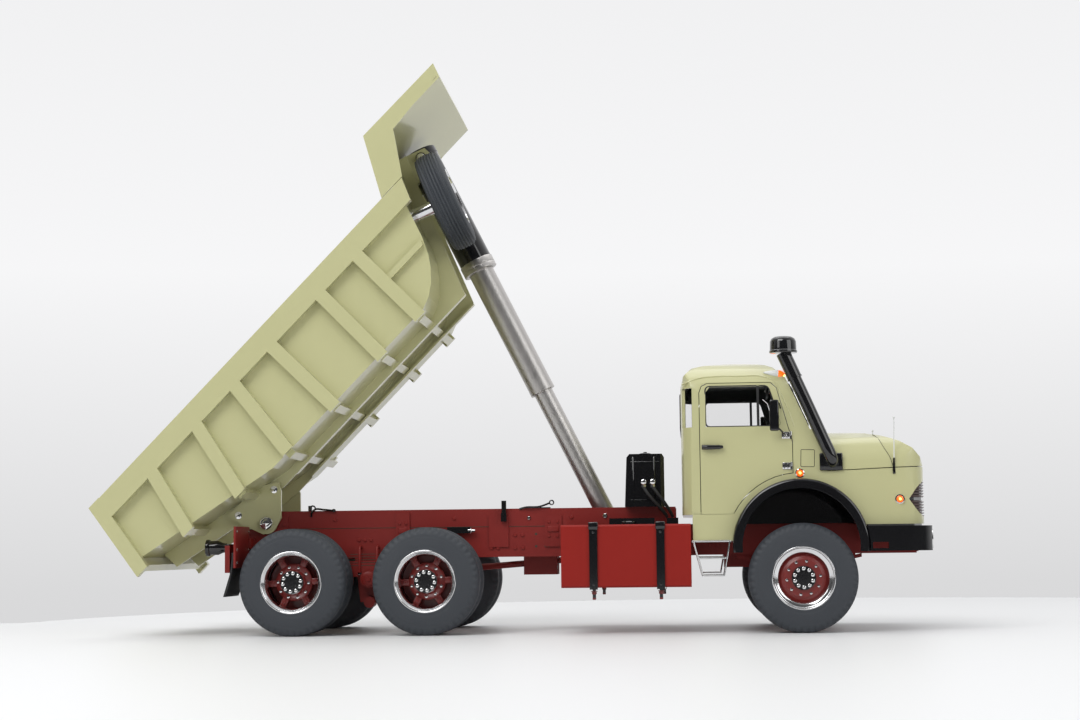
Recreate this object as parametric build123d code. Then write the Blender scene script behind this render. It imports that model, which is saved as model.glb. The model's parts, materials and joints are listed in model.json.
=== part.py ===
from build123d import *
import math
import os

# All sizes are in millimetres
# x points forward from the front axle, y to the left and z up from the ground
# Every solid is moved forward by centre_x at the end, to the middle of the whole

centre_x = 201.94

# Wheels and axles
tyre_r = 37.0
axle_z = 37.0
front_x = 0.0
rear_axles_x = [-257.8, -350.9]
front_wheel_y = 75.0
twin_outer_y = 76.0
twin_inner_y = 53.6
kingpin_y = 65.0
spindle_r = 3.0
hub_r = 7.5
rim_r = 20.3
rim_inner_r = 19.0

# Frame
rail_out = 31.0
rail_in = 22.0
rail_low = 53.0
rail_top = 74.5
subframe_top = 87.2
frame_rear_x = -400.0
frame_front_x = 82.0

# Body
pivot_x = -379.4
pivot_z = 79.0
bed_angle = 46.0
bed_half = 80.0
rib_out = 86.0

# Hoist
eye_x = -133.5
eye_z = 76.8
trunnion_u = 268.9
trunnion_w = 105.0
barrel_down = 92.4
stage_1_length = 98.5
stage_2_length = 92.3

# Cab
cab_half = 77.0
skin = 1.8
arch_x = -1.0
arch_z = 58.0


def block(x0, x1, y0, y1, z0, z1):
    return Pos((x0 + x1) / 2, (y0 + y1) / 2, (z0 + z1) / 2) * Box(x1 - x0, y1 - y0, z1 - z0)


def slab(points, y0, y1):
    face = make_face(Polyline(*[(x, y0, z) for x, z in points], close=True))
    return extrude(face, amount=y1 - y0, dir=(0, 1, 0))


def plan(points, z0, z1):
    face = make_face(Polyline(*[(x, y, z0) for x, y in points], close=True))
    return extrude(face, amount=z1 - z0, dir=(0, 0, 1))


def front(points, x0, x1):
    face = make_face(Polyline(*[(x0, y, z) for y, z in points], close=True))
    return extrude(face, amount=x1 - x0, dir=(1, 0, 0))


def rod(p, q, r):
    axis = Vector(*q) - Vector(*p)
    bottom = (Align.CENTER, Align.CENTER, Align.MIN)
    return Plane(origin=p, z_dir=axis) * Cylinder(r, axis.length, align=bottom)


def across(x, z, r, y0, y1):
    return rod((x, y0, z), (x, y1, z), r)


def upright(x, y, r, z0, z1):
    return rod((x, y, z0), (x, y, z1), r)


def turned(x, z, profile):
    face = make_face(Polyline(*[(r, y, 0) for y, r in profile], close=True))
    return Pos(x, 0, z) * revolve(face, Axis.Y)


def pipe(points, r):
    path = Spline(*points)
    return sweep(Plane(origin=path @ 0, z_dir=path % 0) * Circle(r), path=path)


def joined(shapes):
    whole = shapes[0]
    for shape in shapes[1:]:
        whole = whole + shape
    return whole


def other_side(shape):
    return mirror(shape, about=Plane.XZ)


def both(shape):
    return [shape, other_side(shape)]


def mirrored(points):
    return list(points) + [(-y, z) for y, z in reversed(points) if y > 0.001]


def circle_points(cx, cz, r, start, stop, count):
    step = (stop - start) / (count - 1)
    angles = [math.radians(start + step * i) for i in range(count)]
    return [(cx + r * math.cos(a), cz + r * math.sin(a)) for a in angles]


def on_bed(shape):
    return Pos(pivot_x, 0, pivot_z) * Rot(0, -bed_angle, 0) * shape


parts = {}


def keep(name, shapes):
    solids = []
    for shape in shapes:
        solids.extend((Pos(centre_x, 0, 0) * shape).solids())
    parts[name] = solids


# Frame rails, cross members and subframe
rail_points = [
    (frame_rear_x, rail_low + 6),
    (frame_rear_x + 8, rail_low),
    (frame_front_x, rail_low),
    (frame_front_x, rail_low + 14),
    (30, rail_top),
    (frame_rear_x + 2, rail_top),
    (frame_rear_x, rail_top - 3),
]
channel = slab(rail_points, rail_in, rail_out)
channel = channel - slab([(-390, 54.5), (70, 54.5), (70, 64), (30, 73), (-390, 73)], rail_in - 1, rail_out - 1.6)
subrail = block(-386, -86, 25, rail_out, rail_top, subframe_top)
subrail = subrail - across(pivot_x, pivot_z, 4.0, 20, 40)
bracket_plates = [
    # x, width, low z, high z
    (-371, 14, 58, 84),
    (-281, 10, 60, 85),
    (-212, 14, 60, 82),
    (-173, 12, 60, 82),
]
frame_half = channel + subrail
for x, width, low, high in bracket_plates:
    frame_half = frame_half + block(x - width / 2, x + width / 2, rail_out, rail_out + 1.2, low, high)
cross_members = [
    # x, length, low z, high z
    (-396, 5, 56, 73),
    (-304, 16, 58, 73),
    (-205, 8, 58, 73),
    (-92, 8, 60, 73),
    (76, 8, 54, 64),
]
frame = joined(both(frame_half))
for x, length, low, high in cross_members:
    frame = frame + block(x - length / 2, x + length / 2, -29.4, 29.4, low, high)
cradle = block(eye_x - 17, eye_x + 17, 13, 25, 66, 74.5) + block(eye_x - 17, eye_x + 17, 13, 16, 66, 84)
cradle = cradle + block(eye_x - 17, eye_x + 17, 16, 29.4, 66, 72)
cradle = cradle + across(eye_x, eye_z, 5, 9.5, 13)
frame = frame + cradle + other_side(cradle)
tow_bar = block(82, 85, -16, 16, 54, 69)
tail_bracket = block(-400, -397, 31, 74, 59, 63) + block(-400, -396.6, 46, 74, 44, 63)
frame = frame + across(pivot_x, pivot_z, 4.0, -36.5, 36.5) + tow_bar + tail_bracket + other_side(tail_bracket)
keep("frame", [frame])

# Front axle with its springs
beam = block(-4, 4, -60, 60, 30.5, 39.5)
for shape in both(upright(0, kingpin_y, 5.2, 29.6, 43.4)):
    beam = beam + shape
for shape in both(upright(0, kingpin_y, 2.05, 20, 50)):
    beam = beam - shape
leaf_points = [(-44, 50.5), (-30, 47.5), (-12, 44.5), (12, 44.5), (30, 47.5), (44, 50.5), (44, 53)]
leaf_points = leaf_points + [(30, 50), (12, 47.2), (-12, 47.2), (-30, 50), (-44, 53)]
front_leaf = slab(leaf_points, 23, 29) + block(-22, 22, 23, 29, 42, 44.6)
front_leaf = front_leaf + block(-8, 8, 22, 30, 39.5, 42)
keep("front_axle", [beam + front_leaf + other_side(front_leaf)])

# Rear axle housings, springs and trunnion brackets
rear = []
for x in rear_axles_x:
    housing_profile = [(-44, 0), (-44, 5.5), (-14, 7.5), (-10, 13), (10, 13), (14, 7.5), (44, 5.5), (44, 0)]
    housing = turned(x, axle_z, housing_profile)
    housing = housing + across(x, axle_z, 4.0, -81, 81)
    housing = housing + rod((x, 0, axle_z + 1), (x + 22, 0, axle_z + 8), 5)
    rear.append(housing)
mid_x = (rear_axles_x[0] + rear_axles_x[1]) / 2
spring_points = [(-58, 45), (-40, 47), (-16, 49), (16, 49), (40, 47), (58, 45), (58, 42), (20, 38), (-20, 38), (-58, 42)]
rear_leaf = slab([(mid_x + x, z + 2) for x, z in spring_points], 34, 41)
saddle = slab([(mid_x - 12, 62), (mid_x + 12, 62), (mid_x + 7, 22), (mid_x - 7, 22)], rail_out, 34)
saddle = saddle + across(mid_x, 38.4, 6, rail_out, 42.5)
saddle = saddle + across(mid_x, 22, 4, 28, 38)
rear_spring = rear_leaf + saddle
for x in rear_axles_x:
    rear_spring = rear_spring + block(x - 6, x + 6, 33.5, 41.5, 37, 47)
bogie = rear[0] + rear[1] + rear_spring + other_side(rear_spring)
keep("rear_axles", [bogie])

# Gearbox, drive shafts and the engine as one plain block
driveline = block(-52, -28, -12, 12, 44, 70)
driveline = driveline + rod((-28, 0, 60), (-16, 0, 60), 11)
driveline = driveline + block(-196, -172, -12, 12, 40, 62)
driveline = driveline + rod((-172, 0, 50), (-52, 0, 56), 2.3)
driveline = driveline + rod((-240, 0, 44.7), (-196, 0, 48), 2.3) - bogie
driveline = driveline + block(-45, -37, -29.4, 29.4, 58, 64) + block(-188, -180, -29.4, 29.4, 55, 60)
engine = block(20, 60, -19, 19, 56, 104) + block(30, 40, -29.4, 29.4, 62, 70)
keep("engine_and_driveline", [driveline, engine])

# Fuel tanks with their straps
tank_x0 = -164.5
tank_x1 = -75.5
tank = block(tank_x0, tank_x1, 37, 80, 31.5, 74.5)
tank = chamfer(tank.edges().filter_by(Axis.X), 1.2)
tank_mounts = [-150, -92]
hanger = joined([block(x - 5, x + 5, rail_out, 37, 56, 70) for x in tank_mounts])
tank = tank + hanger
keep("fuel_tanks", both(tank))
strap_x = [-142.2, -96.3]
straps = []
for x in strap_x:
    band = block(x - 2.8, x + 2.8, 35.8, 81.2, 30.3, 75.7)
    band = band - block(x - 3, x + 3, 37, 80, 31.5, 74.5) - block(x - 3, x + 3, 35, 37, 34, 72)
    band = band + upright(x, 74, 1.2, 24, 30.5)
    straps.extend(both(band))

# Hydraulic tank and its hoses
oil_points = [(-121.5, subframe_top), (-93.5, subframe_top), (-93.5, 122), (-95, 124.5), (-118, 124.5), (-120, 122)]
oil_tank = slab(oil_points, -40, -15.5)
oil_tank = chamfer(oil_tank.edges().filter_by(Axis.Z), 2.5)
keep("hydraulic_tank", [oil_tank])
hoses = [
    pipe([(-108, -42.5, 101), (-105, -44.5, 96), (-99, -43.5, 89), (-92, -38, 80)], 1.15),
    pipe([(-101.6, -42.5, 101), (-98, -44.5, 96), (-93, -43, 89), (-88, -38, 80)], 1.15),
]
keep("hoses", hoses)
fittings = []
for x in [-108, -101.6]:
    fittings.append(across(x, 104.5, 1.7, -43.6, -40) + upright(x, -42.5, 1.5, 102.2, 104.5))
keep("hose_fittings", fittings)

# Levers and valves on the frame
controls = [
    rod((-208, -34.2, 79), (-208, -34.2, 92.8), 1.8) + block(-210, -206, -36, -32.2, 78, 84),
    rod((-349, -28, subframe_top), (-349, -28, 91), 1.4),
    block(-196.5, -175, -29, -27, subframe_top, 88),
    block(-248.6, -232, -36, -31.0, 70, 74.4),
    block(-132, -100.5, -58, -48, 74.5, 79),
    block(-92, -84, -58, -48, 74.5, 79),
]
keep("straps_and_controls", straps + controls)

# Cab silhouettes, seen from the side, the front and above
cab_side = [
    (-81, 80.5), (-81, 168), (-79, 176), (-73, 182.2), (-60, 185.6), (-43, 187.2), (-27, 186),
    (-17, 182), (-9, 174), (7, 138), (12, 137.5), (18, 137.5), (18, 80.5),
]
cab_inner_side = [
    (-79.2, 82.3), (-79.2, 167.6), (-77.4, 174.8), (-72.2, 180.3), (-59.6, 183.8), (-43, 185.4),
    (-27.4, 184.2), (-18.1, 180.7), (-10.4, 173), (5.9, 136.2), (12, 135.7), (16.2, 135.7), (16.2, 82.3),
]
cab_front = mirrored([(77, 70), (77, 162), (75.5, 171), (70.5, 178.5), (60, 184), (40, 187), (0, 188.5)])
cab_inner_front = mirrored([(75.2, 75), (75.2, 161.7), (73.8, 170), (69.2, 177.1), (59.4, 182.3), (39.8, 185.2), (0, 186.7)])
cab_plan = mirrored([(-90, 0.0), (-90, 0.0)])[:0]
cab_above = [
    (-81, 62), (-79, 70), (-74.5, 75.3), (-67, 77), (40, 77),
    (40, -77), (-67, -77), (-74.5, -75.3), (-79, -70), (-81, -62),
]
cab_inner_above = [
    (-79.2, 61.5), (-77.4, 69), (-73.5, 73.7), (-66.8, 75.2), (40, 75.2),
    (40, -75.2), (-66.8, -75.2), (-73.5, -73.7), (-77.4, -69), (-79.2, -61.5),
]
cab_solid = slab(cab_side, -90, 90) & front(cab_front, -100, 40) & plan(cab_above, 60, 200)
cab_hollow = slab(cab_inner_side, -90, 90) & front(cab_inner_front, -100, 40) & plan(cab_inner_above, 60, 200)
cab_skin = cab_solid - cab_hollow
arch_cut = across(arch_x, arch_z, 46.3, -95, 95)
arch_cut = arch_cut - block(-60, 60, -33.5, 33.5, 0, 120)
cab_skin = cab_skin - arch_cut

# The door's outline with the arc around the wheel arch
door_arc = circle_points(arch_x, arch_z, 50.6, 94.9, 153.5, 9)
door_outline = [(-68, 80.8), (-68, 164), (-66.4, 168.5), (-62.5, 170.4), (-19.4, 170.4), (-15.5, 167)]
door_outline = door_outline + [(-5.3, 130)] + door_arc + [(-46.6, 80.8)]
window_outline = [(-64, 140.5), (-64, 164), (-61, 168), (-22.5, 168), (-19.5, 165.5), (-13.5, 147), (-15.5, 141.5), (-18, 140.5)]
door_gap = [(-68.5, 80.3), (-68.5, 164.2), (-66.8, 168.8), (-62.7, 170.9), (-19.1, 170.9), (-15.1, 167.2)]
door_gap = door_gap + [(-4.8, 130.1)] + circle_points(arch_x, arch_z, 50.1, 94.4, 153.0, 9) + [(-46.2, 80.3)]
door_prism = slab(door_outline, 73.6, 80)
gap_prism = slab(door_gap, 73.6, 80)
window_prism = slab(window_outline, 60, 90)

# Windscreen, rear quarter and rear window openings
screen_cut = front([(-70, 141), (-66.5, 170), (66.5, 170), (70, 141)], -11, 30)
screen_side = slab([(-12, 141.5), (2.4, 141.5), (-9.5, 168.5), (-15, 168.5)], 0, 1)
screen_cut = screen_cut & slab([(-20, 140), (30, 140), (30, 175), (-20, 175)], -80, 80)
rear_cut = front([(-52, 140.5), (-52, 165), (52, 165), (52, 140.5)], -90, -74)
quarter_cut = plan([(-90, 60), (-73.2, 70), (-73.2, 90), (-90, 90)], 140.5, 167.5)
cab_shell = cab_skin
for cutter in both(gap_prism) + both(quarter_cut) + [screen_cut, rear_cut]:
    cab_shell = cab_shell - cutter
cab_shell = cab_shell - block(-60, -20, -40, 40, 79, 83)
step_box = block(-74, -47, 66, cab_half, 62.5, 80.6) - block(-72.5, -48.5, 60, cab_half - 1.5, 60, 79)
cab_shell = cab_shell + step_box + other_side(step_box)
cab_mount = block(-70, -58, 22, 40, rail_top - 0.0, 80.6)
cab_shell = cab_shell + cab_mount + other_side(cab_mount)
keep("cab_shell", [cab_shell])

# Window glass
glass_skin = cab_skin
thin_hollow_side = [(x + 0.5 if x < 0 else x - 0.5, z) for x, z in cab_side]
glass = []
glass.append((cab_skin & screen_cut))
glass.append(block(-80.6, -79.6, -52, 52, 140.5, 165))
for cutter in both(quarter_cut):
    glass.append(cab_skin & cutter)
keep("cab_glass", glass)

# Seats, dashboard and steering wheel
seats = []
for y in [-40, 40]:
    seat = block(-70, -40, y - 17, y + 17, 98, 106) + block(-74, -66, y - 16, y + 16, 104, 134)
    seat = seat + block(-68, -49, y - 12, y + 12, 82.3, 98.1)
    seats.append(seat)
dashboard = slab([(16.2, 108), (-2, 108), (-8, 122), (-2, 134), (8, 134), (16.2, 130)], -70, 70)
wheel_plane = Plane(origin=(-18, 40, 130), z_dir=(-0.55, 0, 0.83))
steering_wheel = wheel_plane * Torus(14, 1.2) + wheel_plane * Cylinder(3, 3)
for angle in [90, 210, 330]:
    steering_wheel = steering_wheel + wheel_plane * Rot(0, 0, angle) * Pos(7, 0, 0) * Box(14, 2.4, 1.4)
steering_wheel = steering_wheel + rod((-18, 40, 130), (-4, 40, 113), 1.6)
cab_floor = block(-76, 14, -70, 70, 82.3, 84.3) - block(-50, 60, 50, 80, 60, 120) - block(-50, 60, -80, -50, 60, 120)
interior = dashboard + steering_wheel
keep("cab_interior", seats + [interior])

# Doors: panel, glass, handle and mirror
door_panel = (cab_skin & door_prism) - window_prism
door_panel = door_panel + block(-28.8, -27.2, 76.2, 77.0, 140, 168.5)
door_glass = slab(window_outline, 75.6, 76.2)
handle = block(-66.2, -51, 78.6, 80.2, 125.2, 127.8) + block(-65, -62.6, 77.0, 79, 125.4, 127.6)
handle = handle + block(-54.4, -52, 77.0, 79, 125.4, 127.6)
mirror_plate = block(-20.4, -14.2, 84, 86, 137, 158)
mirror_arm = rod((-15, 85, 139), (-9, 77.0, 133), 0.7) + rod((-17, 85, 152), (-12.4, 76.6, 150), 0.7)
mirror_arm = mirror_arm - cab_solid
hinge_z = [113.0, 134.0]
door_knuckles = [block(-12.5, -6.2, 77.05, 78.0, z - 2.6, z + 2.6) + upright(-6.2, 78.0, 0.95, z - 2.6, z + 2.6) for z in hinge_z]
for side_name in ["left", "right"]:
    turn = (lambda s: s) if side_name == "left" else other_side
    keep("door_" + side_name, [turn(door_panel)])
    keep("door_glass_" + side_name, [turn(door_glass)])
    keep("door_fittings_" + side_name, [turn(handle), turn(mirror_plate + mirror_arm)] + [turn(knuckle) for knuckle in door_knuckles])

# Nose panels below the bonnet, with the grille opening
nose_above = [(18, 77), (66, 77), (76, 74.5), (81.5, 69.5), (84, 62), (86, 40), (86.6, 0)]
nose_above = nose_above + [(x, -y) for x, y in reversed(nose_above) if y > 0]
nose_inner = [(10, 75.2), (65.6, 75.2), (75, 72.9), (80, 68.6), (82.2, 61.6), (84.2, 39.9), (84.8, 0)]
nose_inner = nose_inner + [(x, -y) for x, y in reversed(nose_inner) if y > 0]
nose_side = [(18, 54.7), (18, 109), (84.5, 111.6), (90, 111.6), (90, 72.8), (40, 72.8), (40, 54.7)]
nose = (plan(nose_above, 50, 120) & slab(nose_side, -90, 90)) - plan(nose_inner, 40, 109.2)
nose = nose - plan([(10, 68), (72, 68), (80, 60), (80, -60), (72, -68), (10, -68)], 100, 120)
almond = [(72.8, 89.6), (77, 95.5), (80, 99), (84, 102), (92, 103), (92, 76.5), (84, 77.5), (80, 80.3), (77, 83.8)]
grille_opening = slab(almond, -90, 90) - block(60, 82, -60, 60, 70, 110)
nose = nose - grille_opening - arch_cut
keep("nose_panels", [nose])

# Grille slats and the bright bar
slats = []
frame_zone = plan(nose_above, 76, 103) & slab(almond, -90, 90)
shell_zone = frame_zone - plan(nose_inner, 70, 110)
for i in range(8):
    z = 78.0 + i * 3.1
    if abs(z - 89.6) > 1.2:
        slats.append(shell_zone & block(60, 95, -90, 90, z - 0.6, z + 0.6))
backing = plan([(x - 0.05, y) for x, y in nose_inner], 76.6, 103) - plan([(x - 1.4, y * 0.985) for x, y in nose_inner], 70, 110)
backing = backing & slab(almond, -90, 90)
grille = backing
for slat in slats:
    grille = grille + slat
keep("grille", [grille])
bright_bar = shell_zone & block(60, 95, -90, 90, 88.6, 90.6)
strip = plan(nose_above, 71.6, 72.8) - plan([(x - 1.0, y * 0.985) for x, y in nose_inner], 70, 75) - block(0, 44.5, -90, 90, 60, 90)

# Bonnet, hinged at its rear edge
hood_side = [(18.4, 109.6), (18.4, 137.6), (40, 136.8), (56, 134), (68, 129.5), (76, 124.5), (82, 118), (84, 112.2)]
hood_side = hood_side[::-1]
hood_front = mirrored([(76.8, 100), (76.4, 116), (73.5, 125), (67, 131.5), (54, 135.8), (30, 138.2), (0, 139)])
hood_inner_front = mirrored([(75, 100), (74.6, 115.6), (71.8, 124), (65.8, 130), (53.4, 134), (29.8, 136.4), (0, 137.2)])
hood_inner_side = [(16, 100), (16, 135.8), (39.8, 135), (55.4, 132.2), (67, 127.9), (74.7, 123.2), (80.2, 117.3), (82.6, 100)]
hood_solid = slab(hood_side, -90, 90) & front(hood_front, 10, 95)
hood_solid = hood_solid & plan([(x * 0.998 + 0.1, y * 0.997) for x, y in nose_above], 100, 150)
hood_hollow = slab(hood_inner_side, -90, 90) & front(hood_inner_front, 10, 95)
hood_hollow = hood_hollow & plan([(x - 0.2, y * 0.995) for x, y in nose_inner], 90, 150)
keep("bonnet", [hood_solid - hood_hollow])

# Wheel arch flares with their liners
flare = across(arch_x, arch_z, 46.3, 75.2, rib_out) - across(arch_x, arch_z, 42.5, 70, 90)
flare = flare + (across(arch_x, arch_z, 42.6, 83.5, rib_out) - across(arch_x, arch_z, 39.5, 70, 90))
flare = flare - block(-60, 60, 60, 90, 0, 54.5)
liner = across(arch_x, arch_z, 46.3, 34, 75.2) - across(arch_x, arch_z, 44.6, 30, 80)
liner = liner - block(-60, 60, 30, 90, 0, 60)
keep("arch_flares", both(flare + liner))

# Front bumper
bumper_above = [(42.4, 86), (72, 86), (82, 82.5), (87.5, 75), (90, 60), (90, -60), (87.5, -75), (82, -82.5), (72, -86), (42.4, -86)]
bumper_inner = [(30, 82.5), (71.4, 82.5), (79.7, 79.5), (84.2, 73.5), (85.2, 60), (85.2, -60), (84.2, -73.5), (79.7, -79.5), (71.4, -82.5), (30, -82.5)]
bumper = plan(bumper_above, 54.7, 71.5) - plan(bumper_inner, 50, 80)
bumper = bumper + (plan(bumper_above, 69.6, 71.5) - plan([(30, 70), (78, 70), (80, 60), (80, -60), (78, -70), (30, -70)], 50, 80))
for y in [-84, 84]:
    bumper = bumper - block(46.7, 57.3, y - 6, y + 6, 56.5, 60.6)
lamp_y = 66.0
for y in [-lamp_y, lamp_y]:
    bumper = bumper - rod((70, y, 62.4), (95, y, 62.4), 6.6)
bumper = bumper - rod((80, 0, 62.4), (95, 0, 62.4), 3.0)
keep("front_bumper", [bumper - across(arch_x, arch_z, 46.3, -95, 95)])
bowls = []
lenses = []
for y in [-lamp_y, lamp_y]:
    bowl = rod((82, y, 62.4), (88.6, y, 62.4), 6.6) - rod((83.2, y, 62.4), (90, y, 62.4), 5.6)
    bowls.append(bowl)
    lenses.append(rod((86.8, y, 62.4), (88.2, y, 62.4), 5.6))
keep("headlamp_lenses", lenses)

# Orange marker lamps and roof lamps
lamps = []
for shape in both(across(-0.5, 108.0, 2.4, 77.0, 79.6)):
    lamps.append(shape)
for shape in both(Pos(66.5, 77.0, 89.5) * Sphere(2.4) & block(60, 75, 77, 90, 80, 100)):
    lamps.append(shape)
roof_lamp = Pos(-16, 68.5, 178) * Rot(0, 8, 0) * Cylinder(2.4, 12, rotation=(0, 90, 0))
for shape in both(roof_lamp - cab_solid):
    lamps.append(shape)
keep("marker_lamps", lamps)

# Air intake pipe on the right side
pipe_y = -81.9
cap_y = -77.0
intake = rod((22.4, pipe_y, 117), (-9.5, cap_y, 190), 3.6) + rod((-2.9, -78.2, 175), (-9.5, cap_y, 190), 4.3)
intake = intake + rod((-9.8, cap_y, 190.5), (-9.8, cap_y, 200.7), 8.6) + rod((-9.8, cap_y, 190.4), (-9.8, cap_y, 192), 8.9)
intake = intake + block(12, 26, -85.6, -77.2, 109.4, 121) + block(12, 17.5, -78, -77, 109.4, 121)
keep("air_intake", [intake])

# Cab steps
steps = []
for s in both(rod((-74, 78, 62.6), (-67.7, 78, 38.6), 0.7) + rod((-49, 78, 62.6), (-53.5, 78, 38.6), 0.7)
              + rod((-68.4, 78, 39.3), (-52.8, 78, 39.3), 0.7) + rod((-74.8, 78, 62.4), (-48.2, 78, 62.4), 0.7)
              + rod((-71, 78, 51), (-51.3, 78, 51), 0.7)):
    steps.append(s)
keep("bright_trim", [bright_bar, strip] + bowls + steps)

# Rear brackets, tail lamps and mud flaps
tail = []
tail_lamps = []
for y in [50, 58, 66]:
    for shape in both(rod((-400, y, 61), (-410, y, 61), 3.2)):
        tail_lamps.append(shape)
keep("tail_lamps", tail_lamps)
flap = slab([(-398.5, 58), (-396.6, 58), (-391, 28), (-403, 28), (-399.5, 46)], 46, 84)
flap = block(-396.6, -395, 42, 84, 27, 60)
keep("mud_flaps", both(flap))

# Knuckles, front wheels and the tie rod
knuckle = block(-5, 5, 58.5, 72.5, 43.8, 46.8) + block(-5, 5, 58.5, 72.5, 26.2, 29.2)
knuckle = knuckle + block(-5, 5, 70.5, 72.5, 26.2, 46.8) + upright(0, kingpin_y, 2.0, 26.5, 46.5)
knuckle = knuckle + across(0, axle_z, spindle_r, 72, 83)
knuckle = knuckle + block(-14, -4, 63, 67, 24.6, 26.4) + block(-5, 5, 60, 70, 24.6, 26.4)
knuckle = knuckle + upright(-12, kingpin_y, 0.9, 24.7, 31)
keep("knuckle_left", [knuckle])
keep("knuckle_right", [other_side(knuckle)])
tie = rod((-11.4, -61.5, 28.6), (-11.4, 61.5, 28.6), 1.3)
for y in [-kingpin_y, kingpin_y]:
    tie = tie + upright(-11.4, y, 3.6, 27.4, 29.8)
for y in [-kingpin_y, kingpin_y]:
    tie = tie - upright(-11.4, y, 2.1, 20, 40)
keep("tie_rod", [tie])


def tyre_at(x, y, half, z=axle_z):
    profile = [
        (y - half + 0.6, rim_r), (y - half, 29), (y - half + 1.6, 35.6), (y - half + 4, tyre_r),
        (y + half - 4, tyre_r), (y + half - 1.6, 35.6), (y + half, 29), (y + half - 0.6, rim_r),
    ]
    return turned(x, z, profile)


def rim_at(x, y, half, z=axle_z):
    profile = [
        (y - half, 21.6), (y - half + 0.45, 21.6), (y - half + 0.6, rim_r), (y + half - 0.6, rim_r),
        (y + half - 0.45, 21.6), (y + half, 21.6), (y + half, 19.6), (y + half - 2, rim_inner_r),
        (y - half + 2, rim_inner_r), (y - half, 19.6),
    ]
    return turned(x, z, profile)


front_hub_profile = [
    (76.5, spindle_r + 0.05), (76.5, 7), (77.5, rim_inner_r), (80, rim_inner_r), (82.5, 14), (83.4, 12.6),
    (83.4, 8), (85.4, 7.4), (85.4, 0), (83.2, 0), (83.2, spindle_r + 0.05),
]
front_hub = turned(front_x, axle_z, front_hub_profile)
front_tyre = tyre_at(front_x, front_wheel_y, 11)
front_rim = rim_at(front_x, front_wheel_y, 11)
for side_name in ["left", "right"]:
    turn = (lambda s: s) if side_name == "left" else other_side
    keep("front_tyre_" + side_name, [turn(front_tyre)])
    keep("front_rim_" + side_name, [turn(front_rim)])
    keep("front_hub_" + side_name, [turn(front_hub)])

for number, x in enumerate(rear_axles_x, start=1):
    tyres = [tyre_at(x, twin_outer_y, 10), tyre_at(x, twin_inner_y, 10)]
    rims = [rim_at(x, twin_outer_y, 10), rim_at(x, twin_inner_y, 10)]
    core_profile = [
        (46, 4.05), (46, hub_r), (60, hub_r), (60, rim_inner_r), (62, rim_inner_r), (62, hub_r),
        (71, hub_r), (71, 13.6), (74, 13.6), (76, 9), (82.4, 7.6), (82.4, 0), (81.2, 0), (81.2, 4.05),
    ]
    core = turned(x, axle_z, core_profile)
    for i in range(6):
        angle = 30 + 60 * i
        lug = Pos(x, 72.5, axle_z) * Rot(0, angle, 0) * Pos(15.2, 0, 0) * Box(8.2, 3, 6)
        core = core + (lug & across(x, axle_z, rim_inner_r, 60, 80))
    for side_name in ["left", "right"]:
        turn = (lambda s: s) if side_name == "left" else other_side
        label = "rear_" + str(number) + "_"
        keep(label + "tyres_" + side_name, [turn(t) for t in tyres])
        keep(label + "rims_" + side_name, [turn(t) for t in rims])
        keep(label + "hub_" + side_name, [turn(core)])

# The tipping body in its own directions: u forward along its floor and w up from it
tub_outer = [
    (-80, 41.9), (37, 15.5), (190, 15.5), (198, 18.3), (206, 23.6), (214, 31.5), (219.5, 39), (225.6, 51),
    (234.9, 76.5), (253.8, 121), (247.5, 121), (234, 88.5), (-71.5, 88.5),
]
tub_inner = [
    (-90, 45.7), (37.2, 17.1), (189.6, 17.1), (197.2, 19.7), (204.9, 24.8), (212.7, 32.6), (218, 39.9), (224.1, 51.7),
    (233.4, 77.1), (252.3, 121.5), (252.3, 150), (-90, 150),
]
tub = slab(tub_outer[:9] + [(240.6, 89.9), (-71.7, 89.9)], -bed_half, bed_half)
tub = tub - slab(tub_inner, -bed_half + 1.5, bed_half - 1.5)
keep("bed_shell", [on_bed(tub)])

# Side posts, top rails and the short front rails
rib_table = [
    # top u, bottom u, bottom w
    (185, 184, 12),
    (147.5, 146, 12),
    (98, 98, 12),
    (60.5, 53, 15),
    (22, 9, 19),
    (-23, -35, 27),
]
half_rib = 4.8
side_frame = slab([(-71.7, 74), (239, 74), (246, 89.5), (-71.7, 89.5)], bed_half, rib_out)
for top_u, low_u, low_w in rib_table:
    points = [(top_u - half_rib, 75), (top_u + half_rib, 75), (low_u + half_rib, low_w), (low_u - half_rib, low_w)]
    side_frame = side_frame + slab(points, bed_half, rib_out)
post = [(-71.7, 89.9), (-61.7, 89.9), (-71.8, 31.4), (-81.8, 31.4)]
side_frame = side_frame + slab(post, bed_half, rib_out)
side_frame = side_frame + slab([(188, 46), (222, 46), (223.5, 50), (188, 50)], bed_half, bed_half + 4)
keep("bed_posts", [on_bed(s) for s in both(side_frame)])

# The guard over the cab with its side cheeks
cheek = [(319.6, 129.5), (316, 121.5), (267, 117.8), (247, 89.9), (226, 89.9), (249, 130.1)]
guard_profile = [
    (240.6, 89.9), (253.12, 119.4), (316, 119.4), (320, 129.5), (318.4, 129.5), (314.6, 121), (252.2, 121), (239.0, 89.9),
]
guard = slab(guard_profile, -rib_out, rib_out)
guard = guard + slab(cheek, rib_out - 1.4, rib_out) + slab(cheek, -rib_out, -rib_out + 1.4)
keep("bed_guard", [on_bed(guard)])

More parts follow.
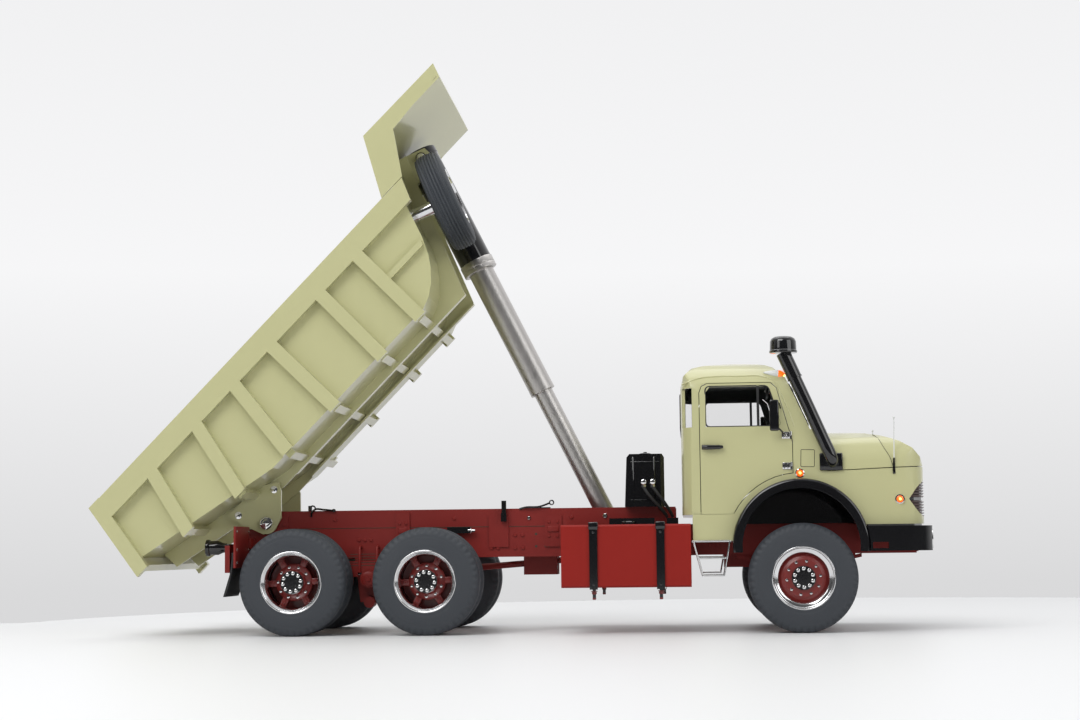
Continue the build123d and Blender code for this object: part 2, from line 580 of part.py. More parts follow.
# Runners, cross bearers and the pivot plates under the floor
runner = [
    (-68.2, 26.3), (-14.4, 14.3), (26, 9.4), (217.5, 9.4), (242.3, 68.5), (262, 112), (250.1, 112), (234.9, 76.5),
    (225.6, 51), (219.5, 39), (214, 31.5), (206, 23.6), (198, 18.3), (190, 15.5), (37, 15.5), (-68.2, 39.2),
]
under = slab(runner, 29.5, 31.0)
under = under + slab([(40, 9.4), (217.5, 9.4), (218.1, 10.9), (40, 10.9)], 24.5, 30)
pivot_plate = slab([(24, 8.5), (27, 14), (12, 24), (-16, 24), (-13, 12), (-7.5, -4), (0, -8), (10, -5.4)], 32.8, 35.2)
pivot_plate = pivot_plate + across(0, 0, 8.0, 32.8, 35.2) - across(0, 0, 4.05, 30, 40)
pivot_plate = pivot_plate + block(-14, 20, 30.9, 33, 17, 23)
under = under + pivot_plate
bearers = []
runners = under + other_side(under)
bearer_table = [
    # u, low w, high w
    (184, 11.5, 15.5),
    (146, 11.5, 15.5),
    (98, 11.5, 15.5),
    (53, 11.5, 15.5),
    (9, 17.5, 21.0),
    (-35, 27, 31.0),
    (-75, 33, 40.8),
]
for u, low, high in bearer_table:
    runners = runners + (block(u - 3, u + 3, -rib_out + 6, rib_out - 6, low, high + 1))
runners = runners - slab([(-90, 15.5 + 127 * 26.4 / 117), (37, 15.5), (190, 15.5), (190, 60), (-90, 60)], -90, 90)
# Ears that hold the barrel's trunnions
ear_points = [(243, 92), (253.6, 118), (264, 114), (276, 109), (276, 100), (268, 96)]
ears = []
for shape in both(slab(ear_points, 14.5, 18.5)):
    ears.append(on_bed(shape - across(trunnion_u, trunnion_w, 4.05, -30, 30)))
keep("bed_runners", [on_bed(runners)] + ears)

# Spare wheel carried in front of the body
spare_plane = on_bed(Plane(origin=(0, 0, 0)).location) if False else None
slope = math.degrees(math.atan2(24.8, 59.5))


def spare_place(shape):
    return on_bed(Pos(246.6, -49.5, 67) * Rot(0, slope, 0) * Rot(0, 0, -90) * shape)


spare_profile = [
    (1.6, rim_r), (1, 29), (2.6, 35.0), (5, 36.4), (16, 36.4), (18.4, 35.0), (20, 29), (19.4, rim_r),
]
spare_rim_profile = [
    (1, 21.6), (1.45, 21.6), (1.6, rim_r), (19.4, rim_r), (19.55, 21.6), (20, 21.6), (20, 19.6), (18, rim_inner_r),
    (11, rim_inner_r), (10, 5), (8, 5), (8.6, rim_inner_r), (3, rim_inner_r), (1, 19.6),
]
keep("spare_tyre", [spare_place(turned(0, 0, spare_profile))])
spare_rim = turned(0, 0, spare_rim_profile) + across(0, 0, 5, -18, 12)
wall_side = slab([(214, 19.2), (243.47, 100), (200, 100), (180, 19.2)], -90, 90)
keep("spare_rim", [spare_place(spare_rim) - on_bed(wall_side)])

# Hoist cylinder: barrel and two stages along one line
lean = math.radians(bed_angle)
top_x = pivot_x + trunnion_u * math.cos(lean) - trunnion_w * math.sin(lean)
top_z = pivot_z + trunnion_u * math.sin(lean) + trunnion_w * math.cos(lean)
reach = math.hypot(top_x - eye_x, top_z - eye_z)
hoist = Plane(origin=(top_x, 0, top_z), z_dir=(eye_x - top_x, 0, eye_z - top_z), x_dir=(0, 1, 0))


def along(r, start, stop):
    bottom = (Align.CENTER, Align.CENTER, Align.MIN)
    return hoist * Pos(0, 0, start) * Cylinder(r, stop - start, align=bottom)


barrel = along(12.2, -9, barrel_down) - along(9.6, -7.5, barrel_down + 1)
trunnions = across(top_x, top_z, 4.0, -22, 22) - across(top_x, top_z, 5, -11, 11)
barrel = barrel + trunnions
collar = along(12.4, barrel_down - 8, barrel_down) - along(9.6, barrel_down - 9, barrel_down + 1)
keep("hoist_barrel", [barrel + collar])
stage_1_low = barrel_down + stage_1_length + 2
stage_1 = along(9.3, barrel_down - 1.0, stage_1_low) - along(7.3, barrel_down - 5, stage_1_low + 1)
keep("hoist_stage_1", [stage_1])
stage_2 = along(7.0, stage_1_low - 8, reach - 6)
eye = across(eye_x, eye_z, 7.0, -7.5, 7.5)
stage_2 = stage_2 + eye - across(eye_x, eye_z, 4.0, -10, 10)
keep("hoist_stage_2", [stage_2])

os.makedirs("parts", exist_ok=True)
for name, solids in parts.items():
    export_step(Compound(children=solids) if len(solids) > 1 else solids[0], "parts/" + name + ".step")
low = [min(getattr(s.bounding_box().min, a) for p in parts.values() for s in p) for a in "XYZ"]
high = [max(getattr(s.bounding_box().max, a) for p in parts.values() for s in p) for a in "XYZ"]
print("box", [round(v, 2) for v in low], [round(v, 2) for v in high])
print("barrel top", round(top_x + centre_x, 3), round(top_z, 3), "reach", round(reach, 3))
print("files", len(parts))
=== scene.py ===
import bpy
import bmesh
import json
import math
import numpy as np
from mathutils import Matrix, Vector


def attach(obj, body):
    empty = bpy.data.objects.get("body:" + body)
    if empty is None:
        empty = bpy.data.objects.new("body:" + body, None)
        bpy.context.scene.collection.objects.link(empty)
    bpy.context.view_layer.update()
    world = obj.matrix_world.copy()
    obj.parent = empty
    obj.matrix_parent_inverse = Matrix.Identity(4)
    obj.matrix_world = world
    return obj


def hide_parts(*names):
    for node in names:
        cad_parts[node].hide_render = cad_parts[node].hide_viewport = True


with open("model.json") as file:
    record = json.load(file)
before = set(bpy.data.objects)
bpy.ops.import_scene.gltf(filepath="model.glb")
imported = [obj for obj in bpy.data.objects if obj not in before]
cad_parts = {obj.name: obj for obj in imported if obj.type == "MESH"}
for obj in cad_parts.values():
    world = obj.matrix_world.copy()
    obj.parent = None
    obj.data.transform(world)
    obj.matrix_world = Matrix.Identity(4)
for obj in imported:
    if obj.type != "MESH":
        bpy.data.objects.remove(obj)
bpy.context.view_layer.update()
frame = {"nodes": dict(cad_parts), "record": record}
frontAxleX = 0.201938      # the front axle's place along the truck, as in the CAD
nodes = frame["nodes"]
print("frame loaded:", len(nodes), "nodes")


# camera: the photograph's own place and lens
cameraSpec = dict(place=(0.12718, -1.3833, 0.05871), yaw=0.0786, pitch=0.0990, roll=-0.0107, lens=63.23)

def makeCamera(spec):
    yaw, pitch, roll = spec["yaw"], spec["pitch"], spec["roll"]
    level = Vector((-math.sin(yaw), math.cos(yaw), 0))
    side = Vector((math.cos(yaw), math.sin(yaw), 0))
    upward = Vector((0, 0, 1))
    ahead = level * math.cos(pitch) + upward * math.sin(pitch)
    top = upward * math.cos(pitch) - level * math.sin(pitch)
    right = side * math.cos(roll) + top * math.sin(roll)
    top = top * math.cos(roll) - side * math.sin(roll)
    camera = bpy.data.objects.new("camera", bpy.data.cameras.new("camera"))
    camera.data.lens = spec["lens"]
    camera.data.clip_start, camera.data.clip_end = 0.05, 40
    turn = Matrix((right, top, -ahead)).transposed().to_4x4()
    camera.matrix_world = Matrix.Translation(spec["place"]) @ turn
    bpy.context.scene.collection.objects.link(camera)
    bpy.context.scene.camera = camera

makeCamera(cameraSpec)
bpy.context.scene.view_settings.view_transform = "Standard"
print("camera set")


# floor, backdrop colour and studio light
stageSpec = dict(floorColor=(0.79, 0.79, 0.79), floorRoughness=0.45, floorHalf=1.4,
    edgeCentre=(0.224, 0.115), edgeRadius=0.675, edgeFrom=0.6, edgeTo=3.0)
worldSpec = dict(ambient=(0.95, 0.97, 1.0, 1), strength=0.5, wallFrom=-0.06, wallTo=0.28,
    wallStops=((0.0, 0.68), (1.0, 0.88), (0.12, 0.70), (0.42, 0.84), (0.60, 0.925)),
    roomByDepth=0.5, roomByHeight=0.45, roomMiddle=0.45,
    roomStops=((0.0, 0.05), (1.0, 0.95), (0.35, 0.09), (0.55, 0.42)))
lightSpec = dict(
    keyLight=dict(place=(-0.75, -1.45, 1.85), target=(0, 0, 0.15), size=(1.6, 1.2), power=26),
    bodyLight=dict(place=(-0.75, -1.0, 0.75), target=(-0.2, -0.08, 0.22), size=(0.5, 0.5), power=1.6),
    fillLight=dict(place=(1.7, -1.2, 0.9), target=(0, 0, 0.1), size=(1.2, 1.2), power=9),
    topLight=dict(place=(0.0, 0.5, 2.2), target=(0, 0, 0), size=(2.4, 1.4), power=16))

def makeLight(name, spec):
    light = bpy.data.objects.new(name, bpy.data.lights.new(name, "AREA"))
    light.data.shape = "RECTANGLE"
    light.data.size, light.data.size_y = spec["size"]
    light.data.energy = spec["power"]
    light.location = spec["place"]
    light.rotation_mode = "QUATERNION"
    aim = Vector(spec["target"]) - Vector(spec["place"])
    light.rotation_quaternion = aim.to_track_quat("-Z", "Y")
    bpy.context.scene.collection.objects.link(light)

def newMaterial(name):
    material = bpy.data.materials.new(name)
    material.use_nodes = True
    material.node_tree.nodes.clear()
    return material, material.node_tree

def addNode(tree, kind, inputs=None, **settings):
    # a shader node with its settings; each input takes a value or the socket that feeds it
    node = tree.nodes.new("ShaderNode" + kind)
    for name, value in settings.items():
        setattr(node, name, value)
    for name, value in (inputs or {}).items():
        if isinstance(value, bpy.types.NodeSocket):
            tree.links.new(value, node.inputs[name])
        else:
            node.inputs[name].default_value = value
    return node

def addMath(tree, operation, *values):
    # a sum worked out by a node, from values and sockets in order
    return addNode(tree, "Math", dict(enumerate(values)), operation=operation).outputs[0]

def makeStage(spec):
    # the table's far edge is an arc, and towards the camera the table goes on past the picture's edge
    angles = np.linspace(spec["edgeFrom"], spec["edgeTo"], 49)
    (cx, cy), radius, half = spec["edgeCentre"], spec["edgeRadius"], spec["floorHalf"]
    rim = [(cx + radius * math.cos(a), cy + radius * math.sin(a), 0) for a in angles]
    points = rim + [(-half, rim[-1][1], 0), (-half, -half, 0), (half, -half, 0), (half, rim[0][1], 0)]
    mesh = bpy.data.meshes.new("floor")
    mesh.from_pydata(points, [], [tuple(range(len(points)))])
    floor = bpy.data.objects.new("floor", mesh)
    bpy.context.scene.collection.objects.link(floor)
    material, tree = newMaterial("paleFloor")
    look = {"Base Color": (*spec["floorColor"], 1), "Roughness": spec["floorRoughness"]}
    body = addNode(tree, "BsdfPrincipled", look)
    addNode(tree, "OutputMaterial", {0: body.outputs[0]})
    mesh.materials.append(material)

def addRamp(tree, source, stops):
    ramp = addNode(tree, "ValToRGB", {0: source})
    for k, (place, level) in enumerate(stops):
        stop = ramp.color_ramp.elements[k] if k < 2 else ramp.color_ramp.elements.new(place)
        stop.position = place
        stop.color = (level, level, level * 1.01, 1)
    return ramp.outputs[0]

def makeWorld(spec):
    # the camera sees a wall that is paler upwards, mirrors see a room that is dark behind the camera
    world = bpy.data.worlds.new("studio")
    bpy.context.scene.world = world
    world.use_nodes = True
    tree = world.node_tree
    tree.nodes.clear()
    place = addNode(tree, "TexCoord").outputs["Generated"]
    parts = addNode(tree, "SeparateXYZ", {0: place}).outputs
    span = {"Value": parts["Z"], "From Min": spec["wallFrom"], "From Max": spec["wallTo"]}
    wall = addRamp(tree, addNode(tree, "MapRange", span).outputs["Result"], spec["wallStops"])
    depth = addMath(tree, "MULTIPLY_ADD", parts["Y"], spec["roomByDepth"], spec["roomMiddle"])
    height = addMath(tree, "MULTIPLY_ADD", parts["Z"], spec["roomByHeight"], depth)
    room = addRamp(tree, height, spec["roomStops"])
    layers = ((spec["ambient"], spec["strength"]), (wall, 1.0), (room, 1.0))
    light, wall, room = [
        addNode(tree, "Background", {"Color": color,
            "Strength": strength}).outputs[0] for color, strength in layers
    ]
    path = addNode(tree, "LightPath").outputs
    seen = addMath(tree, "MAXIMUM", path["Is Camera Ray"], path["Is Transmission Ray"])
    first = addNode(tree, "MixShader", {0: seen, 1: light, 2: wall})
    second = addNode(tree, "MixShader", {0: path["Is Glossy Ray"], 1: first.outputs[0], 2: room})
    addNode(tree, "OutputWorld", {0: second.outputs[0]})

for lightName, spec in lightSpec.items():
    makeLight(lightName, spec)
makeStage(stageSpec)
makeWorld(worldSpec)
print("stage set")


# shader groups that the finishes share
def newGroup(name, inputs, outputs):
    group = bpy.data.node_groups.new(name, "ShaderNodeTree")
    for label, kind, value in inputs:
        socket = group.interface.new_socket(name=label, in_out="INPUT", socket_type="NodeSocket" + kind)
        socket.default_value = value
    for label, kind in outputs:
        group.interface.new_socket(name=label, in_out="OUTPUT", socket_type="NodeSocket" + kind)
    return group, group.nodes.new("NodeGroupInput").outputs, group.nodes.new("NodeGroupOutput").inputs

def addNoise(tree, place, scale, detail):
    return addNode(tree, "TexNoise", {"Vector": place, "Scale": scale, "Detail": detail}).outputs["Fac"]

def makeGrainGroup():
    # noise at a given scale, put out as a height and as a roughness that varies about a middle value
    group, given, result = newGroup("fineGrain",
        [("Scale", "Float", 400.0), ("Roughness", "Float", 0.4), ("Spread", "Float", 0.1)],
        [("Height", "Float"), ("Roughness", "Float")])
    noise = addNoise(group, addNode(group, "TexCoord").outputs["Object"], given["Scale"], 4)
    centred = addMath(group, "SUBTRACT", noise, 0.5)
    rough = addMath(group, "MULTIPLY_ADD", centred, given["Spread"], given["Roughness"])
    group.links.new(noise, result["Height"])
    group.links.new(rough, result["Roughness"])
    return group

def makeToneGroup():
    # a base colour moved a little towards a second one by large soft noise
    group, given, result = newGroup("softTone",
        [("Base", "Color", (1, 1, 1, 1)), ("Second", "Color", (1, 1, 1, 1)),
         ("Scale", "Float", 20.0), ("Amount", "Float", 0.5)],
        [("Color", "Color")])
    noise = addNoise(group, addNode(group, "TexCoord").outputs["Object"], given["Scale"], 3)
    share = addMath(group, "MULTIPLY", noise, given["Amount"])
    mix = addNode(group, "Mix", {"Factor": share, "A": given["Base"], "B": given["Second"]}, data_type="RGBA")
    group.links.new(mix.outputs["Result"], result["Color"])
    return group

def makeBrushedGroup(alongShare=0.985, roughSpread=0.22):
    # noise that changes across an axis but hardly along it: the point less most of its part along the axis
    group, given, result = newGroup("brushedGrain",
        [("Axis", "Vector", (0, 0, 1)), ("Scale", "Float", 900.0), ("Roughness", "Float", 0.3)],
        [("Height", "Float"), ("Roughness", "Float")])
    place = addNode(group, "TexCoord").outputs["Object"]
    dot = addNode(group, "VectorMath", {0: place, 1: given["Axis"]}, operation="DOT_PRODUCT")
    most = addMath(group, "MULTIPLY", dot.outputs["Value"], alongShare)
    part = addNode(group, "VectorMath", {0: given["Axis"], "Scale": most}, operation="SCALE")
    rest = addNode(group, "VectorMath", {0: place, 1: part.outputs[0]}, operation="SUBTRACT")
    noise = addNoise(group, rest.outputs[0], given["Scale"], 5)
    group.links.new(noise, result["Height"])
    group.links.new(addMath(group, "MULTIPLY_ADD", noise, roughSpread, given["Roughness"]),
        result["Roughness"])
    return group

def makeInsideShadeGroup():
    # tells a shell's inside from its outside, for the painted shade inside the cab: inside faces look towards
    # the middle of the room
    group, given, result = newGroup("insideMask", [("Middle", "Vector", (0, 0, 0))], [("Inside", "Float")])
    place = addNode(group, "TexCoord").outputs
    away = addNode(group, "VectorMath", {0: place["Object"], 1: given["Middle"]}, operation="SUBTRACT")
    dot = addNode(group, "VectorMath", {0: away.outputs[0], 1: place["Normal"]}, operation="DOT_PRODUCT")
    group.links.new(addMath(group, "LESS_THAN", dot.outputs["Value"], 0.0), result["Inside"])
    return group

grainGroup = makeGrainGroup()
brushedGroup = makeBrushedGroup()
insideShadeGroup = makeInsideShadeGroup()
toneGroup = makeToneGroup()


# finishes, one for each slot of the CAD and a few for small parts; what a finish doesn't name is the usual
usualFinish = dict(coat=0.0, coatRough=0.08, metal=0.0, shine=0.5, grain=900, bump=0.02, toneScale=25,
    roughShare=0.3)
finishes = dict(
    body_paint=dict(base=(0.520, 0.508, 0.272), second=(0.500, 0.488, 0.258), rough=0.30, coat=0.5),
    frame_red=dict(base=(0.235, 0.019, 0.015), second=(0.190, 0.014, 0.011), rough=0.42, shine=0.3,
        grain=700, bump=0.06),
    tank_red=dict(base=(0.275, 0.014, 0.009), second=(0.25, 0.012, 0.008), rough=0.45, shine=0.2,
        grain=800, bump=0.05),
    hub_red=dict(base=(0.150, 0.014, 0.012), second=(0.20, 0.02, 0.016), rough=0.35, coat=0.3,
        grain=700, bump=0.05),
    black_paint=dict(base=(0.005, 0.005, 0.006), second=(0.008, 0.008, 0.009), rough=0.09, coat=0.6,
        grain=600, bump=0.01),
    hose_rubber=dict(base=(0.015, 0.015, 0.016), second=(0.022, 0.022, 0.022), rough=0.6, bump=0.2),
    interior_black=dict(base=(0.012, 0.012, 0.012), second=(0.02, 0.02, 0.02), rough=0.55, bump=0.1),
    tyre=dict(base=(0.030, 0.035, 0.043), second=(0.045, 0.05, 0.058), rough=0.62, grain=1200, bump=0.12),
    brass=dict(base=(0.62, 0.42, 0.13), second=(0.5, 0.33, 0.1), rough=0.25, metal=1.0),
    chrome=dict(base=(0.82, 0.82, 0.82), second=(0.75, 0.75, 0.75), rough=0.08, grain=600, bump=0.0,
        metal=1.0),
    steel=dict(base=(0.64, 0.62, 0.60), second=(0.50, 0.48, 0.465), rough=0.27, bump=0.25, metal=1.0,
        brushed=(-0.4528, 0, -0.8916)),
    polished_rim=dict(base=(0.80, 0.80, 0.81), second=(0.72, 0.72, 0.73), rough=0.14, bump=0.01, metal=1.0),
    orange_lens=dict(base=(0.85, 0.10, 0.008), second=(0.9, 0.16, 0.012), rough=0.15, coat=0.6,
        grain=500, bump=0.01, glow=1.1),
    tail_lens=dict(base=(0.80, 0.16, 0.012), second=(0.9, 0.22, 0.02), rough=0.2, coat=0.6, grain=500,
        glow=0.6),
    seat_cover=dict(base=(0.030, 0.028, 0.026), second=(0.05, 0.046, 0.042), rough=0.5, grain=1500, bump=0.3),
    pale_plastic=dict(base=(0.68, 0.69, 0.67), second=(0.72, 0.73, 0.71), rough=0.25, coat=0.3, grain=700),
    grille_dark=dict(base=(0.045, 0.018, 0.014), second=(0.06, 0.025, 0.02), rough=0.3, coat=0.3, bump=0.03),
    lamp_core=dict(base=(1.0, 0.62, 0.10), second=(1.0, 0.70, 0.16), rough=0.3, grain=500, bump=0.01,
        glow=3.0),
    # a dark brown for painted shade: thin lines in gaps and along a crease, and discs in holes
    seam_dark=dict(base=(0.035, 0.032, 0.022), second=(0.05, 0.045, 0.03), rough=0.7, bump=0.05),
)
# the cab's paint is near black on the faces that look towards this place inside the cab, in metres: painted
# shade inside the cab
finishes["cab_paint_and_inside_shade"] = dict(finishes["body_paint"], insideShadeMiddle=(-0.035, 0, 0.128),
    insideShadeColor=(0.012, 0.012, 0.012, 1))
glassSpec = dict(
    window_glass=dict(name="windowGlass", tint=(0.02, 0.024, 0.022), rough=0.03, alpha=0.035),
    lamp_glass=dict(name="lampGlass", tint=(0.95, 0.95, 0.95), rough=0.05, alpha=0.3))

def closeMaterial(material, tree, look):
    body = addNode(tree, "BsdfPrincipled", look)
    addNode(tree, "OutputMaterial", {0: body.outputs[0]})
    return material

def makeFinish(name, spec):
    spec = {**usualFinish, **spec}
    material, tree = newMaterial(name)
    grainLook = {"Scale": spec["grain"], "Roughness": spec["rough"]}
    if "brushed" in spec:
        grain = addNode(tree, "Group", {**grainLook, "Axis": spec["brushed"]}, node_tree=brushedGroup).outputs
    else:
        grainLook["Spread"] = spec["rough"] * spec["roughShare"]
        grain = addNode(tree, "Group", grainLook, node_tree=grainGroup).outputs
    toneLook = {"Base": (*spec["base"], 1), "Second": (*spec["second"], 1), "Scale": spec["toneScale"],
        "Amount": 1.0}
    color = addNode(tree, "Group", toneLook, node_tree=toneGroup).outputs["Color"]
    # faces inside the cab take the near-black colour: painted shade inside the cab
    if "insideShadeMiddle" in spec:
        middle = np.array(spec["insideShadeMiddle"]) + np.array((frontAxleX, 0, 0))
        inside = addNode(tree, "Group", {"Middle": middle}, node_tree=insideShadeGroup).outputs[0]
        mixLook = {"Factor": inside, "A": color, "B": spec["insideShadeColor"]}
        color = addNode(tree, "Mix", mixLook, data_type="RGBA").outputs["Result"]
    bump = addNode(tree, "Bump", {"Strength": spec["bump"], "Distance": 0.0005, "Height": grain["Height"]})
    look = {"Base Color": color, "Roughness": grain["Roughness"], "Metallic": spec["metal"],
        "Specular IOR Level": spec["shine"], "Coat Weight": spec["coat"], "Coat Roughness": spec["coatRough"],
        "Normal": bump.outputs["Normal"]}
    if "glow" in spec:
        look.update({"Emission Color": color, "Emission Strength": spec["glow"]})
    return closeMaterial(material, tree, look)

def makeGlass(spec):
    look = {"Base Color": (*spec["tint"], 1), "Roughness": spec["rough"], "Alpha": spec["alpha"], "IOR": 1.45}
    return closeMaterial(*newMaterial(spec["name"]), look)

materials = {name: makeFinish(name, spec) for name, spec in finishes.items()}
materials.update({name: makeGlass(spec) for name, spec in glassSpec.items()})

slotOf = {part["node"]: part["material_slot"] for part in frame["record"]["subparts"]}
ownFinish = dict(cab_shell="cab_paint_and_inside_shade", door_left="cab_paint_and_inside_shade", door_right="cab_paint_and_inside_shade", tail_lamps="tail_lens")
for name, thing in nodes.items():
    thing.data.materials.clear()
    thing.data.materials.append(materials[ownFinish.get(name, slotOf[name])])
print("finishes on the CAD nodes")


leftRight = (("left", 1), ("right", -1))      # the sides by name, with the sign of y

# shapes: each is a pair of points and faces, worked out as whole arrays in millimetres
# measured as the CAD measures them: x from the front axle, y to the left, z from the ground
def gridShape(grid, wrapRows=False, wrapColumns=False):
    # neighbours along the rows and columns of the grid make the quads
    rows, columns = grid.shape[:2]
    index = np.arange(rows * columns).reshape(rows, columns)
    lastRow = rows if wrapRows else rows - 1
    lastColumn = columns if wrapColumns else columns - 1
    i, j = np.meshgrid(np.arange(lastRow), np.arange(lastColumn), indexing="ij")
    i2, j2 = (i + 1) % rows, (j + 1) % columns
    faces = np.stack([index[i, j], index[i2, j], index[i2, j2], index[i, j2]], -1)
    return grid.reshape(-1, 3), faces.reshape(-1, 4)

def axisFrame(along):
    # three unit directions square to each other, the last along the axis
    w = np.array(along, float)
    w = w / np.linalg.norm(w)
    helper = np.array((0, 0, 1.0)) if abs(w[2]) < 0.9 else np.array((1.0, 0, 0))
    u = np.cross(helper, w)
    u = u / np.linalg.norm(u)
    return u, np.cross(w, u), w

def latheShape(profile, place, along, count=48, phase=0.0, closed=False):
    # a profile of (distance, radius) turned about the axis: place + distance*axis + radius*(cos, sin)
    profile = np.array(profile, float)
    u, v, w = axisFrame(along)
    angle = phase + 2 * np.pi * np.arange(count) / count
    ring = np.cos(angle)[:, None] * u + np.sin(angle)[:, None] * v
    grid = np.array(place, float) + profile[:, 0, None, None] * w + profile[:, 1, None, None] * ring[None]
    return gridShape(grid, wrapRows=closed, wrapColumns=True)

def tubeShape(points, radius, sides=12):
    # a circle carried along a path and kept square to it, closed at both ends
    path = np.array(points, float)
    tangent = np.gradient(path, axis=0)
    tangent = tangent / np.linalg.norm(tangent, axis=1)[:, None]
    helper = np.eye(3)[int(np.argmin(np.abs(tangent).max(0)))]
    u = np.cross(np.broadcast_to(helper, tangent.shape), tangent)
    u = u / np.linalg.norm(u, axis=1)[:, None]
    v = np.cross(tangent, u)
    angle = 2 * np.pi * np.arange(sides) / sides
    radius = np.broadcast_to(np.array(radius, float), (len(path),))
    ring = np.cos(angle)[None, :, None] * u[:, None] + np.sin(angle)[None, :, None] * v[:, None]
    grid = path[:, None] + ring * radius[:, None, None]
    first = np.broadcast_to(path[0], (1, sides, 3))
    last = np.broadcast_to(path[-1], (1, sides, 3))
    return gridShape(np.concatenate([first, grid, last]), wrapColumns=True)

def softBlock(low, high, radius, steps=3):
    # a box with rounded upright corners and rims: each level is a rounded rectangle, inset by a quarter
    # circle at both ends
    low, high = np.array(low, float), np.array(high, float)
    middle, half = (low + high) / 2, (high - low) / 2
    radius = min(radius, 0.98 * half.min())
    t = np.linspace(0, np.pi / 2, steps + 1)
    inset = radius * (1 - np.sin(t))
    rise = radius * (1 - np.cos(t))
    levels = np.concatenate([low[2] + rise, (high[2] - rise)[::-1]])
    insets = np.concatenate([inset, inset[::-1]])
    corner = np.linspace(0, np.pi / 2, steps + 1)
    turn = np.concatenate([corner + k * np.pi / 2 for k in range(4)])
    sx = np.repeat([1, -1, -1, 1], steps + 1)
    sy = np.repeat([1, 1, -1, -1], steps + 1)
    x = middle[0] + sx * (half[0] - radius) + np.maximum(radius - insets, 0)[:, None] * np.cos(turn)
    y = middle[1] + sy * (half[1] - radius) + np.maximum(radius - insets, 0)[:, None] * np.sin(turn)
    grid = np.stack([x, y, np.broadcast_to(levels[:, None], x.shape)], -1)
    bottom = np.broadcast_to((middle[0], middle[1], low[2]), (1, grid.shape[1], 3))
    top = np.broadcast_to((middle[0], middle[1], high[2]), (1, grid.shape[1], 3))
    return gridShape(np.concatenate([bottom, grid, top]), wrapColumns=True)

def boltShape(place, along, radius, height, sides=6, phase=0.0):
    # a bolt head: a short prism with a chamfered and slightly domed top
    profile = [(0, 0), (0, radius), (height * 0.72, radius), (height * 0.95, radius * 0.8), (height, 0)]
    return latheShape(profile, place, along, sides, phase)

def otherSide(shape):
    # the same shape on the truck's other side
    points, faces = shape
    return points * np.array((1, -1, 1)), faces

def smoothLine(points, count):
    # a curve through the points: a cubic between neighbours, with slopes taken from both sides
    points = np.array(points, float)
    step = np.concatenate([[0], np.cumsum(np.linalg.norm(np.diff(points, axis=0), axis=1))])
    slope = np.gradient(points, step, axis=0)
    at = np.linspace(0, step[-1], count)
    k = np.clip(np.searchsorted(step, at, side="right") - 1, 0, len(step) - 2)
    gap = (step[k + 1] - step[k])[:, None]
    t = ((at - step[k]) / (step[k + 1] - step[k]))[:, None]
    h00, h10 = 2 * t**3 - 3 * t**2 + 1, t**3 - 2 * t**2 + t
    h01, h11 = -2 * t**3 + 3 * t**2, t**3 - t**2
    return h00 * points[k] + h10 * gap * slope[k] + h01 * points[k + 1] + h11 * gap * slope[k + 1]

def makePiece(name, shapes, finish, body="chassis", replaced=(), sharp=35):
    # joins shapes into one mesh in metres, closes seams and poles and turns the faces outwards
    starts = np.cumsum([0] + [len(points) for points, faces in shapes])
    points = np.concatenate([points for points, faces in shapes]) / 1000 + np.array((frontAxleX, 0, 0))
    faces = [row for shape, start in zip(shapes, starts) for row in (shape[1] + start).tolist()]
    mesh = bpy.data.meshes.new(name)
    mesh.from_pydata(points.tolist(), [], faces)
    work = bmesh.new()
    work.from_mesh(mesh)
    bmesh.ops.remove_doubles(work, verts=work.verts, dist=1e-7)
    bmesh.ops.dissolve_degenerate(work, edges=work.edges, dist=1e-8)
    bmesh.ops.recalc_face_normals(work, faces=work.faces)
    work.to_mesh(mesh)
    work.free()
    mesh.shade_smooth()
    mesh.set_sharp_from_angle(angle=math.radians(sharp))
    thing = bpy.data.objects.new(name, mesh)
    bpy.context.scene.collection.objects.link(thing)
    mesh.materials.append(materials[finish])
    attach(thing, body)
    if replaced:
        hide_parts(*replaced)
    return thing


# tyres: smooth sides with two low rings, four grooves round and short cuts across the shoulders
tyreSpec = dict(radius=37.0, beadRadius=20.3, grooveDepth=0.9, cuts=48, columns=240,
    grooves=(2.6, 6.0), cutFrom=7.4)
grooveHalf = 11      # the half width of tyre for which grooves and cuts are placed

